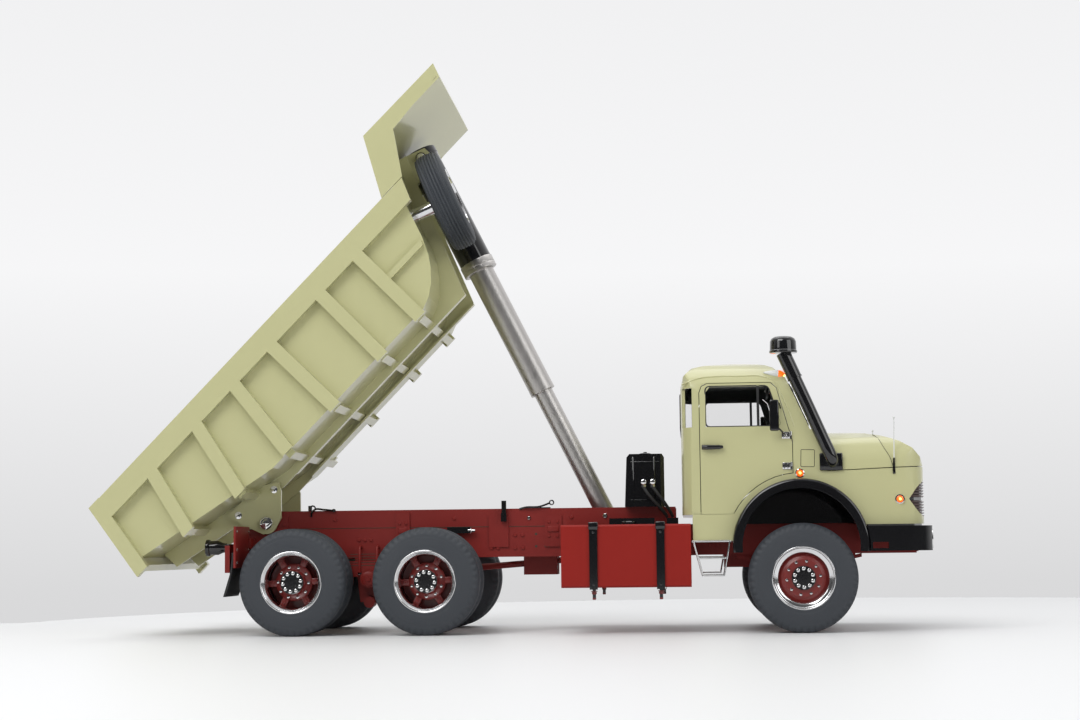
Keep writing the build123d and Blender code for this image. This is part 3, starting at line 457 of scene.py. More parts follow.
def tyreShape(half, centre, spec, along=(0, 1, 0)):
    # the section runs from bead to bead; where a groove or a cut runs, the radius is lowered
    tread, bead = spec["radius"], spec["beadRadius"]
    side = [(half - 0.7, bead), (half - 0.1, bead + 1.2), (half, bead + 4), (half - 0.15, bead + 8),
        (half - 0.6, tread - 4.6), (half - 1.3, tread - 2.2), (half - 2.6, tread - 0.7),
        (half - 4.6, tread - 0.1)]
    section = [(-s, r) for s, r in side] + [(0, tread)] + side[::-1]
    line = smoothLine(section, 64)
    s = np.clip(line[:, 0], -half, half)[:, None]
    angle = 2 * np.pi * np.arange(spec["columns"]) / spec["columns"]
    radius = np.broadcast_to(line[:, 1][:, None], (len(line), len(angle)))
    wave = (angle[None] * spec["cuts"] / (2 * np.pi) + np.where(s > 0, 0.5, 0.0)) % 1.0
    high = np.clip((radius - (tread - 4.2)) / 1.2, 0, 1)
    cut = np.clip((0.16 - np.abs(wave - 0.5)) / 0.05, 0, 1)
    across = cut * np.clip((np.abs(s) - spec["cutFrom"] * half / grooveHalf) / 0.6, 0, 1)
    offsets = [np.abs(np.abs(s) - groove * half / grooveHalf) for groove in spec["grooves"]]
    around = sum(np.clip((0.55 - offset) / 0.2, 0, 1) for offset in offsets)
    low = radius - spec["grooveDepth"] * high * np.maximum(across, around)
    flank = np.clip((np.abs(s) - (half - 1.2)) / 0.4, 0, 1)
    rings = np.exp(-((radius - (bead + 3.0)) / 0.4) ** 2) + np.exp(-((radius - (bead + 10.8)) / 0.3) ** 2)
    s = s - np.sign(s) * 0.25 * flank * rings
    u, v, w = axisFrame(along)
    ring = np.cos(angle)[:, None] * u + np.sin(angle)[:, None] * v
    outside = np.array(centre, float) + s[..., None] * w + low[..., None] * ring[None]
    ends = np.array([half - 0.7, -half + 0.7])
    inside = np.array(centre, float) + ends[:, None, None] * w + bead * ring[None]
    return gridShape(np.concatenate([outside, inside]), wrapRows=True, wrapColumns=True)

wheelSpec = dict(axleHeight=37.0, frontX=0.0, frontY=75.0, frontHalf=11.0, rearX=(-257.8, -350.9),
    twinY=(76.0, 53.6), rearHalf=10.0)

def makeTyres(spec, tyre):
    z = spec["axleHeight"]
    for side, sign in leftRight:
        shape = tyreShape(spec["frontHalf"], (spec["frontX"], sign * spec["frontY"], z), tyre)
        makePiece("frontTyre_" + side, [shape], "tyre", "front_wheel_" + side, ["front_tyre_" + side])
        for number, x in enumerate(spec["rearX"], start=1):
            pair = [tyreShape(spec["rearHalf"], (x, sign * y, z), tyre) for y in spec["twinY"]]
            makePiece(f"rearTyres{number}_{side}", pair, "tyre", f"rear_{number}_wheel_{side}",
                [f"rear_{number}_tyres_{side}"])

makeTyres(wheelSpec, tyreSpec)
print("tyres made")


# wheel bolts, the studs of the hub caps and the black caps themselves
boltSpec = dict(count=10, boltRadius=1.05, boltHeight=1.0, frontRing=11.4, frontFace=83.4, frontPhase=0.12,
    rearRing=10.7, rearFace=76.4, rearPhase=0.30, studRing=6.3, studRadius=1.2, studHeight=0.75, studTurn=0.2,
    capRadius=8.1, frontCap=85.5, rearCap=82.5)

def makeWheelBolts(wheels, spec):
    z, capRadius, studRing = wheels["axleHeight"], spec["capRadius"], spec["studRing"]
    turn = 2 * np.pi * np.arange(spec["count"]) / spec["count"]
    places = [("front_wheel", wheels["frontX"], spec["frontRing"], spec["frontFace"], spec["frontCap"],
        spec["frontPhase"])]
    for k, x in enumerate(wheels["rearX"], start=1):
        places.append((f"rear_{k}_wheel", x, spec["rearRing"], spec["rearFace"], spec["rearCap"],
            spec["rearPhase"] * k))
    cap = [(-2.2, 0), (-2.2, capRadius), (-0.5, capRadius), (0, capRadius - 0.5), (0, 3.6), (0.35, 3.3),
        (0.35, 0)]
    for body, x, ring, face, capFace, phase in places:
        for side, sign in leftRight:
            outward = (0, sign, 0)
            shapes = []
            for a in turn + phase:
                bolt = (x + ring * np.cos(a), sign * (face - 0.2), z + ring * np.sin(a))
                shapes.append(boltShape(bolt, outward, spec["boltRadius"], spec["boltHeight"], 10))
                b = a + spec["studTurn"]
                stud = (x + studRing * np.cos(b), sign * (capFace - 0.3), z + studRing * np.sin(b))
                shapes.append(boltShape(stud, outward, spec["studRadius"], spec["studHeight"], 12))
            makePiece(f"{body}Bolts_{side}", shapes, "chrome", f"{body}_{side}")
            capShape = latheShape(cap, (x, sign * capFace, z), outward, 60)
            makePiece(f"{body}Cap_{side}", [capShape], "black_paint", f"{body}_{side}")

makeWheelBolts(wheelSpec, boltSpec)
print("wheel bolts made")

# closed lines and flat plates that several pieces are made from
def roundedLoop(corners, radius, steps=6):
    # each corner is replaced by a quadratic bend that starts and ends one radius away from it
    corners = np.array(corners, float)
    before, after = np.roll(corners, 1, 0), np.roll(corners, -1, 0)
    backward = (before - corners) / np.linalg.norm(before - corners, axis=1)[:, None]
    forward = (after - corners) / np.linalg.norm(after - corners, axis=1)[:, None]
    t = np.linspace(0, 1, steps)[None, :, None]
    start, end = (corners + radius * backward)[:, None], (corners + radius * forward)[:, None]
    bends = (1 - t) ** 2 * start + 2 * t * (1 - t) * corners[:, None] + t**2 * end
    return bends.reshape(-1, corners.shape[1])

def loopTube(points, radius, sides=8):
    # a circle carried round a closed path and kept square to it
    path = np.array(points, float)
    tangent = np.roll(path, -1, 0) - np.roll(path, 1, 0)
    tangent = tangent / np.linalg.norm(tangent, axis=1)[:, None]
    normal = np.linalg.svd(path - path.mean(0))[2][2]
    u = np.cross(tangent, normal)
    u = u / np.linalg.norm(u, axis=1)[:, None]
    v = np.cross(tangent, u)
    angle = 2 * np.pi * np.arange(sides) / sides
    grid = path[:, None] + radius * (np.cos(angle)[None, :, None] * u[:, None]
        + np.sin(angle)[None, :, None] * v[:, None])
    return gridShape(grid, wrapRows=True, wrapColumns=True)

def bothSides(shapes):
    return shapes + [otherSide(shape) for shape in shapes]

def makePair(name, shapes, *others, **more):
    makePiece(name, bothSides(shapes), *others, **more)

def ringShape(centre, radius, count, thick):
    # a thin ring that stands upright along the truck
    x, y, z = centre
    turn = np.linspace(0, 2 * np.pi, count, endpoint=False)
    return loopTube([(x + radius * math.cos(a), y, z + radius * math.sin(a)) for a in turn], thick)

def plateShape(outline, low, high, bevel=0.3):
    # an outline of (x, z) made into a plate from y = low to y = high, its rims drawn in by the bevel
    outline = np.array(outline, float)
    middle = outline.mean(0)
    inward = middle - outline
    inward = inward / np.linalg.norm(inward, axis=1)[:, None]
    rings = [(low, bevel), (low + bevel, 0), (high - bevel, 0), (high, bevel)]
    x, z = outline.T
    dx, dz = inward.T
    grid = [np.column_stack([x + dx * d, np.full(len(outline), y), z + dz * d]) for y, d in rings]
    first = np.tile((middle[0], low, middle[1]), (1, len(outline), 1))
    last = np.tile((middle[0], high, middle[1]), (1, len(outline), 1))
    return gridShape(np.concatenate([first, np.array(grid), last]), wrapColumns=True)


# the spare tyre on the raised body, with finer grooves
bedSpec = dict(pivot=(-379.4, 79.0), lean=46.0)

def onBed(u, y, w):
    # a point of the raised body: u forward along its floor and w up from it
    lean = math.radians(bedSpec["lean"])
    x, z = bedSpec["pivot"]
    return (x + u * math.cos(lean) - w * math.sin(lean), y, z + u * math.sin(lean) + w * math.cos(lean))

spareSpec = dict(place=(246.6, -49.5, 67.0), slope=22.03, offset=10.5, halfWidth=9.5,
    boltCount=8, boltRing=9.0,
    tyre=dict(radius=36.4, beadRadius=20.3, grooveDepth=0.7, cuts=60, columns=240,
        grooves=(1.3, 3.6, 5.9, 8.2), cutFrom=9.4))

def makeSpare(spec):
    turn = math.radians(spec["slope"] - bedSpec["lean"])
    axis = np.array((math.cos(turn), 0, -math.sin(turn)))
    centre = np.array(onBed(*spec["place"])) + spec["offset"] * axis
    makePiece("spareTyre", [tyreShape(spec["halfWidth"], centre, spec["tyre"], axis)], "tyre", "bed",
        ["spare_tyre"])
    u, v = axisFrame(axis)[:2]
    bolts = []
    for k in range(spec["boltCount"]):
        a = 2 * np.pi * k / spec["boltCount"]
        spot = centre - 1.0 * axis + spec["boltRing"] * (math.cos(a) * u + math.sin(a) * v)
        bolts.append(boltShape(spot, axis, 1.0, 1.2))
    makePiece("spareBolts", bolts, "chrome", "bed")

makeSpare(spareSpec)
print("spare wheel made")


# cab trim: window seals, gutters, painted shade lines along the bonnet's crease and round the cowl flaps, and
# the cheeks behind the arches
cabSpec = dict(half=77.0, roofRadius=22.0, roofTop=182.5, screenTop=(-12.5, 184.3), screenFoot=(7.0, 138.2),
    rearX=-81.0, screenLoop=[(70, 141), (66.5, 170), (-66.5, 170), (-70, 141)],
    rearLoop=[(52, 140.5), (52, 165), (-52, 165), (-52, 140.5)],
    windowLoop=[(-64, 140.5), (-64, 168.5), (-20.9, 168.5), (-12.2, 140.5)], barY=(75.9, 77.2),
    gutter=[(-79.6, 0, 170.4), (-74, 0, 172.6), (-66, 0, 174.9), (-57, 0, 175.6), (-40, 0, 175.6),
        (-24, 0, 175.0), (-17.5, 0, 172.2), (-12.0, 0, 162.0), (-7.3, 0, 151.0), (-3.6, 0, 140.0)],
    gutterEnd=(3.2, 1.8, 0.8, 0.2), cowlFlap=[(0.6, 124.1), (9.8, 123.8), (9.4, 112.2), (0.2, 112.4)],
    cheekX=-48.2, cheekZ=(62.5, 80.75), cheekY=(75.6, 76.95), cheekRadius=46.4, cheekArc=(0.097, 0.512),
    shadeLineZ=(134.8, 112.7), shadeLineByX=([112.9, 118.9, 125.6, 131.5, 135.0], [62.3, 60.4, 56.5, 54.0, 51.0]),
    shadeLineByY=([100, 116, 125, 131.5, 135.8], [76.8, 76.4, 73.5, 67.0, 54.0]))

def cabSide(z, spec=cabSpec):
    # half width of the cab at a height: upright sides, then the arc that leads into the roof
    z = np.asarray(z, float)
    start = spec["roofTop"] - 0.92 * spec["roofRadius"]
    rise = np.clip(z - start, 0, spec["roofRadius"] * 0.99)
    return spec["half"] - spec["roofRadius"] + np.sqrt(spec["roofRadius"] ** 2 - rise**2)

def screenX(z, spec=cabSpec):
    # the windscreen's plane leans back in proportion to the height
    (x1, z1), (x0, z0) = spec["screenTop"], spec["screenFoot"]
    return x0 + (np.asarray(z, float) - z0) * (x1 - x0) / (z1 - z0)

def makeCabTrim(spec):
    loop = roundedLoop(spec["screenLoop"], 6)
    screen = np.column_stack([screenX(loop[:, 1]) + 0.25, loop[:, 0], loop[:, 1]])
    makePiece("screenSeal", [loopTube(screen, 1.0)], "interior_black")
    makePiece("screenTrim", [loopTube(screen + (0.7, 0, 0.35), 0.42)], "chrome")
    loop = roundedLoop(spec["rearLoop"], 5)
    rear = np.column_stack([np.full(len(loop), spec["rearX"]), loop])
    makePiece("rearSeal", [loopTube(rear, 0.8)], "interior_black")
    loop = roundedLoop(spec["windowLoop"], 3.5)
    for side, sign in leftRight:
        seal = np.column_stack([loop[:, 0], sign * (cabSide(loop[:, 1]) - 0.5), loop[:, 1]])
        makePiece("windowSeal_" + side, [loopTube(seal, 0.55)], "interior_black", "door_" + side)
    gutter = smoothLine(spec["gutter"], 60)
    gutter[:, 1] = cabSide(gutter[:, 2]) - 0.05
    gutter[:4, 1] -= np.array(spec["gutterEnd"])
    makePair("gutters", [tubeShape(gutter, 0.5, 8)], "body_paint")
    for side, sign in leftRight:
        low, high = sorted(sign * y for y in spec["barY"])
        bar = softBlock((-28.9, low, 140.7), (-27.1, high, 168.3), 0.3)
        makePiece("windowBar_" + side, [bar], "interior_black", "door_" + side)
    radius, x, (low, high) = spec["cheekRadius"], spec["cheekX"], spec["cheekZ"]
    arc = np.linspace(*spec["cheekArc"], 9)
    bend = [(-1.0 - radius * math.cos(a), 58.0 + radius * math.sin(a)) for a in arc]
    cheek = plateShape([(x, low)] + bend + [(x, high)], *spec["cheekY"], 0.1)
    makePair("stepCheeks", [cheek], "body_paint")
    # a thin dark loop of painted shade in the gap round each cowl flap
    flap = roundedLoop(spec["cowlFlap"], 0.8, 4)
    flapLine = np.column_stack([flap[:, 0], np.full(len(flap), spec["half"]), flap[:, 1]])
    makePair("cowlFlapShade", [loopTube(flapLine, 0.2, 6)], "seam_dark")
    # a thin dark line of painted shade along the crease on the bonnet's side
    height = np.linspace(*spec["shadeLineZ"], 24)
    creaseShade = np.column_stack([np.interp(height, *spec["shadeLineByX"]), np.interp(height, *spec["shadeLineByY"]), height])
    makePair("bonnetCreaseShade", [tubeShape(creaseShade, 0.2, 6)], "seam_dark", "bonnet")

doorSpec = dict(hingeZ=(113.0, 134.0), screwX=(-11.0, -8.6), postX=(-64.6, -53.0), gripLimit=79.3,
    grip=[(-52.4, 79.4, 126.6), (-55, 80.0, 126.5), (-60, 80.15, 126.4), (-64.6, 79.9, 126.6),
        (-66.4, 79.2, 126.9)],
    gripThick=([0, 4, 18, 23], [0.9, 1.5, 1.75, 1.1]),
    arms=([(-15.4, 84.6, 139.4), (-13.0, 83.0, 137.0), (-9.0, 77.0, 133.4)],
        [(-17.3, 84.6, 156.4), (-14.5, 82.6, 156.0), (-12.6, 76.2, 152.4)]),
    knuckle=[(-2.6, 0), (-2.6, 0.85), (-0.1, 0.95), (0, 0.8), (0.1, 0.95), (2.6, 0.85), (2.6, 0)])

def makeDoorParts(spec):
    # handle, mirror and arms in black, hinges and mirror clamps in chrome, made for the left and mirrored
    grip = smoothLine(spec["grip"], 24)
    grip[:, 1] = np.minimum(grip[:, 1], spec["gripLimit"])
    handle = tubeShape(grip, np.interp(np.arange(24), *spec["gripThick"]), 14)
    plate = softBlock((-66.9, 76.9, 124.9), (-62.4, 77.5, 128.3), 0.5)
    mirror = softBlock((-20.6, 83.4, 136.6), (-14.2, 86.0, 158), 1.28, 5)
    shapes = [handle, plate, mirror]
    shapes += [tubeShape([(x, 76.9, 126.5), (x, 79.2, 126.5)], 0.8, 12) for x in spec["postX"]]
    shapes += [tubeShape(smoothLine(arm, 12), 0.6, 10) for arm in spec["arms"]]
    heights = spec["hingeZ"]
    hinges = [latheShape(spec["knuckle"], (-6.2, 78.0, z), (0, 0, 1), 16) for z in heights]
    hinges += [softBlock((-12.3, 76.9, z - 2.4), (-6.4, 77.7, z + 2.4), 0.35) for z in heights]
    screws = [(x, 77.6, z + dz) for z in heights for x in spec["screwX"] for dz in (-1.3, 1.3)]
    hinges += [boltShape(screw, (0, 1, 0), 0.5, 0.35, 8) for screw in screws]
    clamp = [(-1.0, 0), (-1.0, 0.9), (1.0, 0.9), (1.0, 0)]
    hinges.append(latheShape(clamp, (-9.6, 77.6, 133.9), (-0.5, 0.6, 0.5), 14))
    for side, sign in leftRight:
        if sign < 0:
            shapes, hinges = [[otherSide(shape) for shape in group] for group in (shapes, hinges)]
        makePiece("doorFittings_" + side, shapes, "black_paint", "door_" + side, ["door_fittings_" + side])
        makePiece("doorHinges_" + side, hinges, "chrome", "door_" + side)

noseSpec = dict(poleFoot=[(63.0, 77.1, 109.0), (63.1, 77.3, 113.0), (63.3, 77.2, 117.6)],
    footThick=(0.95, 0.85, 0.6), pole=[(63.3, 77.2, 117.0), (63.6, 77.1, 131.0), (64.0, 76.9, 144.6)],
    knob=[(0, 0), (0.2, 0.6), (0.8, 0.85), (1.4, 0.6), (1.6, 0)], wiperY=(-34, 22),
    wiperPin=[(-0.6, 0), (-0.6, 1.3), (0.9, 1.1), (1.1, 0)],
    sideRing=[(-0.1, 0), (-0.1, 3.2), (0.5, 3.1), (0.7, 2.5), (0.3, 2.45), (0.3, 0)],
    cornerRing=[(0.0, 0.0), (0.0, 3.3), (0.35, 3.2), (0.45, 2.5), (0.2, 0.0)])

def makeNoseParts(spec):
    # marker poles on the nose's corners, wipers and rings round the side lamps
    feet = [tubeShape(spec["poleFoot"], spec["footThick"], 12)]
    feet.append(softBlock((62.2, 76.6, 106.6), (64.0, 77.6, 109.6), 0.3))
    poles = [tubeShape(spec["pole"], 0.38, 8), latheShape(spec["knob"], (64.0, 76.9, 144.4), (0, 0, 1), 12)]
    makePair("poleFeet", feet, "black_paint")
    makePair("markerPoles", poles, "pale_plastic")
    wipers = []
    for y in spec["wiperY"]:
        arm = [(8.6, y, 139.2), (7.8, y + 1.5, 142.0), (4.6, y + 13, 148.5), (1.6, y + 23, 155.5)]
        blade = [(3.3, y + 3, 148.8), (1.0, y + 23.5, 155.8), (-1.4, y + 42, 161.6)]
        wipers += [tubeShape(smoothLine(arm, 16), 0.45, 8), tubeShape(blade, 0.5, 8)]
        wipers.append(latheShape(spec["wiperPin"], (8.9, y, 138.9), (0.4, 0, 1), 14))
    makePiece("wipers", wipers, "black_paint")
    rings = [latheShape(spec["sideRing"], (-0.5, 77.0, 108.0), (0, 1, 0), 24)]
    rings.append(latheShape(spec["cornerRing"], (66.5, 76.95, 89.5), (0, 1, 0), 24))
    makePair("lampRings", rings, "chrome")

makeCabTrim(cabSpec)
makeDoorParts(doorSpec)
makeNoseParts(noseSpec)
print("cab trim made")


# bolts, plates and pins on the frame and the tipping body
frameSpec = dict(railY=31.0, plateY=32.2, plateZ=72.5, shadeLineZ=74.5,
    railBolts=[(-217.5, 68.4), (-212.8, 68.4), (-200.3, 68.4), (-195.0, 68.4),
        (-217.5, 59.3), (-212.8, 59.3), (-200.3, 59.3), (-195.0, 59.3),
        (-214.7, 80.6), (-313.0, 66.0), (-308.5, 66.0), (-304.0, 66.0), (-244.0, 80.6), (-330.0, 80.6),
        (-335.0, 66.0), (-252.0, 60.0), (-160.0, 80.6),
        (-62.0, 68.0), (-57.0, 68.0), (-62.0, 60.0), (-57.0, 60.0)],
    plates=[(-371, 5), (-281, 3), (-173, 4)],
    brightBolts=[(-190.4, 80.4, 1.4), (-136.0, 81.4, 1.7), (-311.5, 58.5, 1.3), (-292.0, 60.0, 1.2)],
    holes=[(-185.4, 69.0), (-185.4, 60.3), (-178.6, 60.3), (-176.6, 60.3)])

def makeFrameParts(spec):
    # a plate is a place along the rail and half a length, with four bolts near its ends
    railY, plateY, plateZ = spec["railY"], spec["plateY"], spec["plateZ"]
    bolts = [boltShape((x, railY - 0.1, z), (0, 1, 0), 1.25, 1.1, 14) for x, z in spec["railBolts"]]
    plates = []
    for x, half in spec["plates"]:
        for dz in (-5, 5):
            for dx in (-half * 0.75, half * 0.75):
                bolts.append(boltShape((x + dx, plateY - 0.1, plateZ + dz), (0, 1, 0), 1.1, 0.9, 6))
        plates.append(softBlock((x - half, plateY - 0.2, 70.4), (x + half, plateY + 0.8, 74.6), 0.5))
    makePair("frameBolts", bolts, "frame_red")
    makePair("framePlates", plates, "frame_red")
    bright = [boltShape((x, railY - 0.1, z), (0, 1, 0), radius, 1.2, 6)
        for x, z, radius in spec["brightBolts"]]
    makePair("brightBolts", bright, "chrome")
    # a thin dark line of painted shade in the joint along the rail's top
    edge = [tubeShape([(x, railY + 0.02, spec["shadeLineZ"]) for x in (-398.0, -200.0, -40.0, 28.0)], 0.22, 6)]
    makePair("railJointShade", edge, "seam_dark")
    # flat dark discs of painted shade in the rail's holes
    disc = [(0, 0), (0, 0.9), (0.06, 0.9), (0.06, 0)]
    holes = [latheShape(disc, (x, railY, z), (0, 1, 0), 14) for x, z in spec["holes"]]
    makePair("railHoleShade", holes, "seam_dark")

springSpec = dict(clipY=(33.6, 41.7), clipReach=6.2, capHeight=38.4,
    rear=dict(x=-304.35, y=41.0, z=46.0, step=2.0, bend=-2.8, reach=52, halves=(44, 36, 28, 20, 13),
        points=17, thick=0.22),
    front=dict(x=0.0, y=29.0, z=48.4, step=-1.6, bend=4.6, reach=44, halves=(35, 26, 17), points=13,
        thick=0.2))

def makeSprings(spec):
    # the painted shade lines in the gaps between the leaves follow the leaves' parabola: height + bend *
    # (distance / reach)^2
    lines, clips, nuts = [], [], []
    for spring in (spec["rear"], spec["front"]):
        for number, half in enumerate(spring["halves"], start=1):
            along = half * np.linspace(-1, 1, spring["points"])
            z = spring["z"] + spring["step"] * number + spring["bend"] * (along / spring["reach"]) ** 2
            line = np.column_stack([spring["x"] + along, np.full(len(along), spring["y"]), z])
            lines.append(tubeShape(line, spring["thick"], 6))
    makePair("leafGapShade", lines, "seam_dark")
    middle, (near, far) = spec["rear"]["x"], spec["clipY"]
    for dx in (-spec["clipReach"], spec["clipReach"]):
        bend = [(near, 42.0), (near, 59.6), (34.4, 60.9), (37.5, 61.2), (40.8, 60.9), (far, 59.6),
            (far, 42.0)]
        clips.append(tubeShape([(middle + dx, y, z) for y, z in bend], 0.8, 10))
        nuts.append(boltShape((middle + dx, far, 43.0), (0, 0, -1), 1.5, 1.6))
    cap = [(-0.3, 0), (-0.3, 5.2), (0.5, 5.2), (1.0, 4.4), (1.0, 2.0), (1.6, 1.8), (1.6, 0)]
    clips.append(latheShape(cap, (middle, 42.4, spec["capHeight"]), (0, 1, 0), 32))
    makePair("springClips", clips, "frame_red")
    makePair("springNuts", nuts, "chrome")

pivotSpec = dict(pinY=36.3, boltY=35.2, bolts=[(21.0, 12.6), (-10.2, 18.6), (8.0, 20.0)],
    pin=[(-0.2, 0), (-0.2, 4.6), (0.7, 4.6), (0.9, 4.3), (0.9, 2.6), (1.9, 2.4), (2.1, 1.8), (2.1, 0)],
    bolt=[(-0.2, 0), (-0.2, 2.6), (0.4, 2.6), (0.5, 1.6), (1.3, 1.5), (1.4, 0)])

def makePivotParts(spec):
    # pins of the tipping pivot with washers, and bolts through its plates
    x, z = bedSpec["pivot"]
    makePair("pivotPins", [latheShape(spec["pin"], (x, spec["pinY"], z), (0, 1, 0), 32)], "chrome")
    small = [latheShape(spec["bolt"], onBed(u, spec["boltY"], w), (0, 1, 0), 18) for u, w in spec["bolts"]]
    makePair("pivotBolts", small, "chrome", "bed")

makeFrameParts(frameSpec)
makeSprings(springSpec)
makePivotParts(pivotSpec)
print("frame parts made")


# tanks: ribs, caps, hose nuts and strap bolts, with the lever and the valve on the frame
tankSpec = dict(ribX=(-115.5, -100.5), bandZ=(92.0, 119.0), hoseX=(-108.0, -101.6), strapX=(-142.2, -96.3),
    strapY=74.0, oilCap=[(-0.3, 0), (-0.3, 4.2), (0.8, 4.2), (1.2, 3.6), (1.2, 1.4), (2.0, 1.2), (2.0, 0)],
    hoseNut=[(0, 0), (0, 1.9), (0.9, 1.9), (1.2, 1.4), (1.2, 0)],
    hoseEnd=[(0, 0), (0, 1.75), (1.5, 1.75), (1.7, 1.3), (1.7, 0)],
    washer=[(0, 0), (0, 2.2), (0.5, 2.2), (0.5, 0)],
    fuelCap=[(-0.2, 0), (-0.2, 5.0), (1.8, 5.0), (2.4, 4.4), (2.4, 0)],
    lever=[(-197.0, -31.2, 86.9), (-193.0, -32.5, 87.9), (-182.6, -32.6, 88.4), (-174.9, -32.6, 91.0)],
    valve=[(0, 0), (0, 1.6), (2.2, 1.6), (2.4, 2.2), (4.4, 2.2), (4.6, 1.2), (7.2, 1.2), (7.4, 0)])

def makeTankParts(spec):
    ribs = []
    for x in spec["ribX"]:
        rib = [(x, -40.0, 89.0), (x, -40.05, 104.0), (x, -40.0, 121.4), (x, -38.6, 123.8)]
        ribs.append(tubeShape(rib + [(x, -30.0, 124.5), (x, -18.0, 124.5)], 0.7, 8))
    for z in spec["bandZ"]:
        ribs.append(tubeShape([(-117.0, -40.0, z), (-107.0, -40.05, z), (-97.0, -40.0, z)], 0.35, 8))
    ribs.append(latheShape(spec["oilCap"], (-107.0, -27.0, 124.4), (0, 0, 1), 32))
    makePiece("oilTankRibs", ribs, "black_paint")
    nuts = []
    for x in spec["hoseX"]:
        nuts.append(latheShape(spec["hoseNut"], (x, -43.4, 104.5), (0, -1, 0), 20))
        nuts.append(latheShape(spec["hoseEnd"], (x, -42.5, 102.6), (0, 0, -1), 6))
    makePiece("hoseNuts", nuts, "chrome")
    strapNuts, buckles, y = [], [], spec["strapY"]
    for x in spec["strapX"]:
        strapNuts.append(boltShape((x, y, 28.6), (0, 0, -1), 1.9, 1.8))
        strapNuts.append(latheShape(spec["washer"], (x, y, 29.3), (0, 0, -1), 20))
        strapNuts.append(boltShape((x, y, 24.6), (0, 0, -1), 1.4, 1.4))
        buckles.append(softBlock((x - 3.3, 79.8, 71.0), (x + 3.3, 81.9, 76.2), 0.7))
        buckles += [boltShape((x, 81.1, z), (0, 1, 0), 0.8, 0.5, 12) for z in (33.5, 69.0)]
    makePair("strapNuts", strapNuts, "hub_red")
    makePair("strapBuckles", buckles, "black_paint")
    cap = latheShape(spec["fuelCap"], (-118.0, 66.0, 74.4), (0, 0, 1), 36)
    makePair("tankCaps", [cap], "black_paint")
    lever = tubeShape(smoothLine(spec["lever"], 18), 0.7, 10)
    makePiece("lockBar", [lever, ringShape((-174.0, -32.6, 91.2), 1.5, 16, 0.5)], "black_paint")
    valve = latheShape(spec["valve"], (-236.0, -34.0, 71.8), (1, 0, 0), 20)
    makePiece("valveEnd", [valve], "chrome")

def makeTailParts():
    # a ring round each tail lamp, bolts on the flaps' plates and ribs across the rubber
    profile = [(0, 0), (0, 5.0), (-0.4, 5.6), (-1.2, 5.9), (-2.6, 5.9), (-2.9, 5.5), (-2.4, 5.3)]
    ring = latheShape(profile, (-413.6, 60.0, 61.5), (1, 0, 0), 36)
    makePair("tailRings", [ring], "black_paint")
    upper = [(-390.1, y, z) for y in (46.0, 80.5) for z in (51.0, 60.0, 72.5)]
    bolts = [boltShape(place, (1, 0, 0), 0.9, 0.7, 8) for place in upper]
    bolts += [boltShape((-392.6, y, 55.5), (-1, 0, 0), 1.0, 0.8, 8) for y in (47.0, 63.0, 79.0)]
    makePair("tailBolts", bolts, "chrome")
    routes = [[(-392.9, y, 53.0), (-392.95, y, 46.0), (-397.2, y, 29.0)] for y in np.linspace(46, 79, 9)]
    makePair("flapRibs", [tubeShape(route, 0.35, 8) for route in routes], "hose_rubber")

makeTankParts(tankSpec)
makeTailParts()
print("tank and tail parts made")


# hoist: gland, ring and cap, placed by their distance along the cylinder's line, and caps on its trunnions
hoistSpec = dict(top=(268.9, 0, 105.0), eye=(-133.5, 0, 76.8), trunnionY=21.6,
    gland=[(84.0, 12.5), (84.4, 12.75), (88.6, 12.75), (88.9, 12.5), (89.3, 12.75), (92.2, 12.75),
        (92.5, 12.3), (92.7, 9.9), (92.5, 9.4), (91.8, 9.4)],
    stageRing=[(188.6, 9.0), (188.7, 9.36), (192.6, 9.36), (192.95, 9.1), (192.95, 7.4), (192.6, 7.2)],
    cap=[(-9.0, 0), (-9.5, 6.0), (-9.4, 10.6), (-8.8, 12.4), (-4.0, 12.6), (-3.6, 12.2)],
    trunnionCap=[(0, 0), (0, 3.2), (0.8, 3.2), (1.1, 2.7), (1.1, 0)])

def makeHoistParts(spec):
    top, eye = np.array(onBed(*spec["top"])), np.array(spec["eye"])
    along = (eye - top) / np.linalg.norm(eye - top)
    makePiece("hoistGland", [latheShape(spec["gland"], top, along, 64)], "steel", "hoist_barrel")
    makePiece("hoistStageRing", [latheShape(spec["stageRing"], top, along, 64)], "steel", "hoist_stage_1")
    makePiece("hoistCap", [latheShape(spec["cap"], top, along, 48)], "black_paint", "hoist_barrel")
    end = latheShape(spec["trunnionCap"], (top[0], spec["trunnionY"], top[2]), (0, 1, 0), 24)
    makePair("trunnionCaps", [end], "chrome", "hoist_barrel")

makeHoistParts(hoistSpec)
print("hoist parts made")


# panels: copies of the CAD's panels, merged at their corners and shaded round across the small bends
panelSpec = dict(roundAcross=41, bodies=dict(cab_shell="chassis", nose_panels="chassis",
    front_bumper="chassis", bonnet="bonnet", door_left="door_left", door_right="door_right"),
    names=dict(cab_shell="cabShell", nose_panels="nosePanels", front_bumper="frontBumper",
        bonnet="bonnetPanel", door_left="doorPanel_left", door_right="doorPanel_right"))

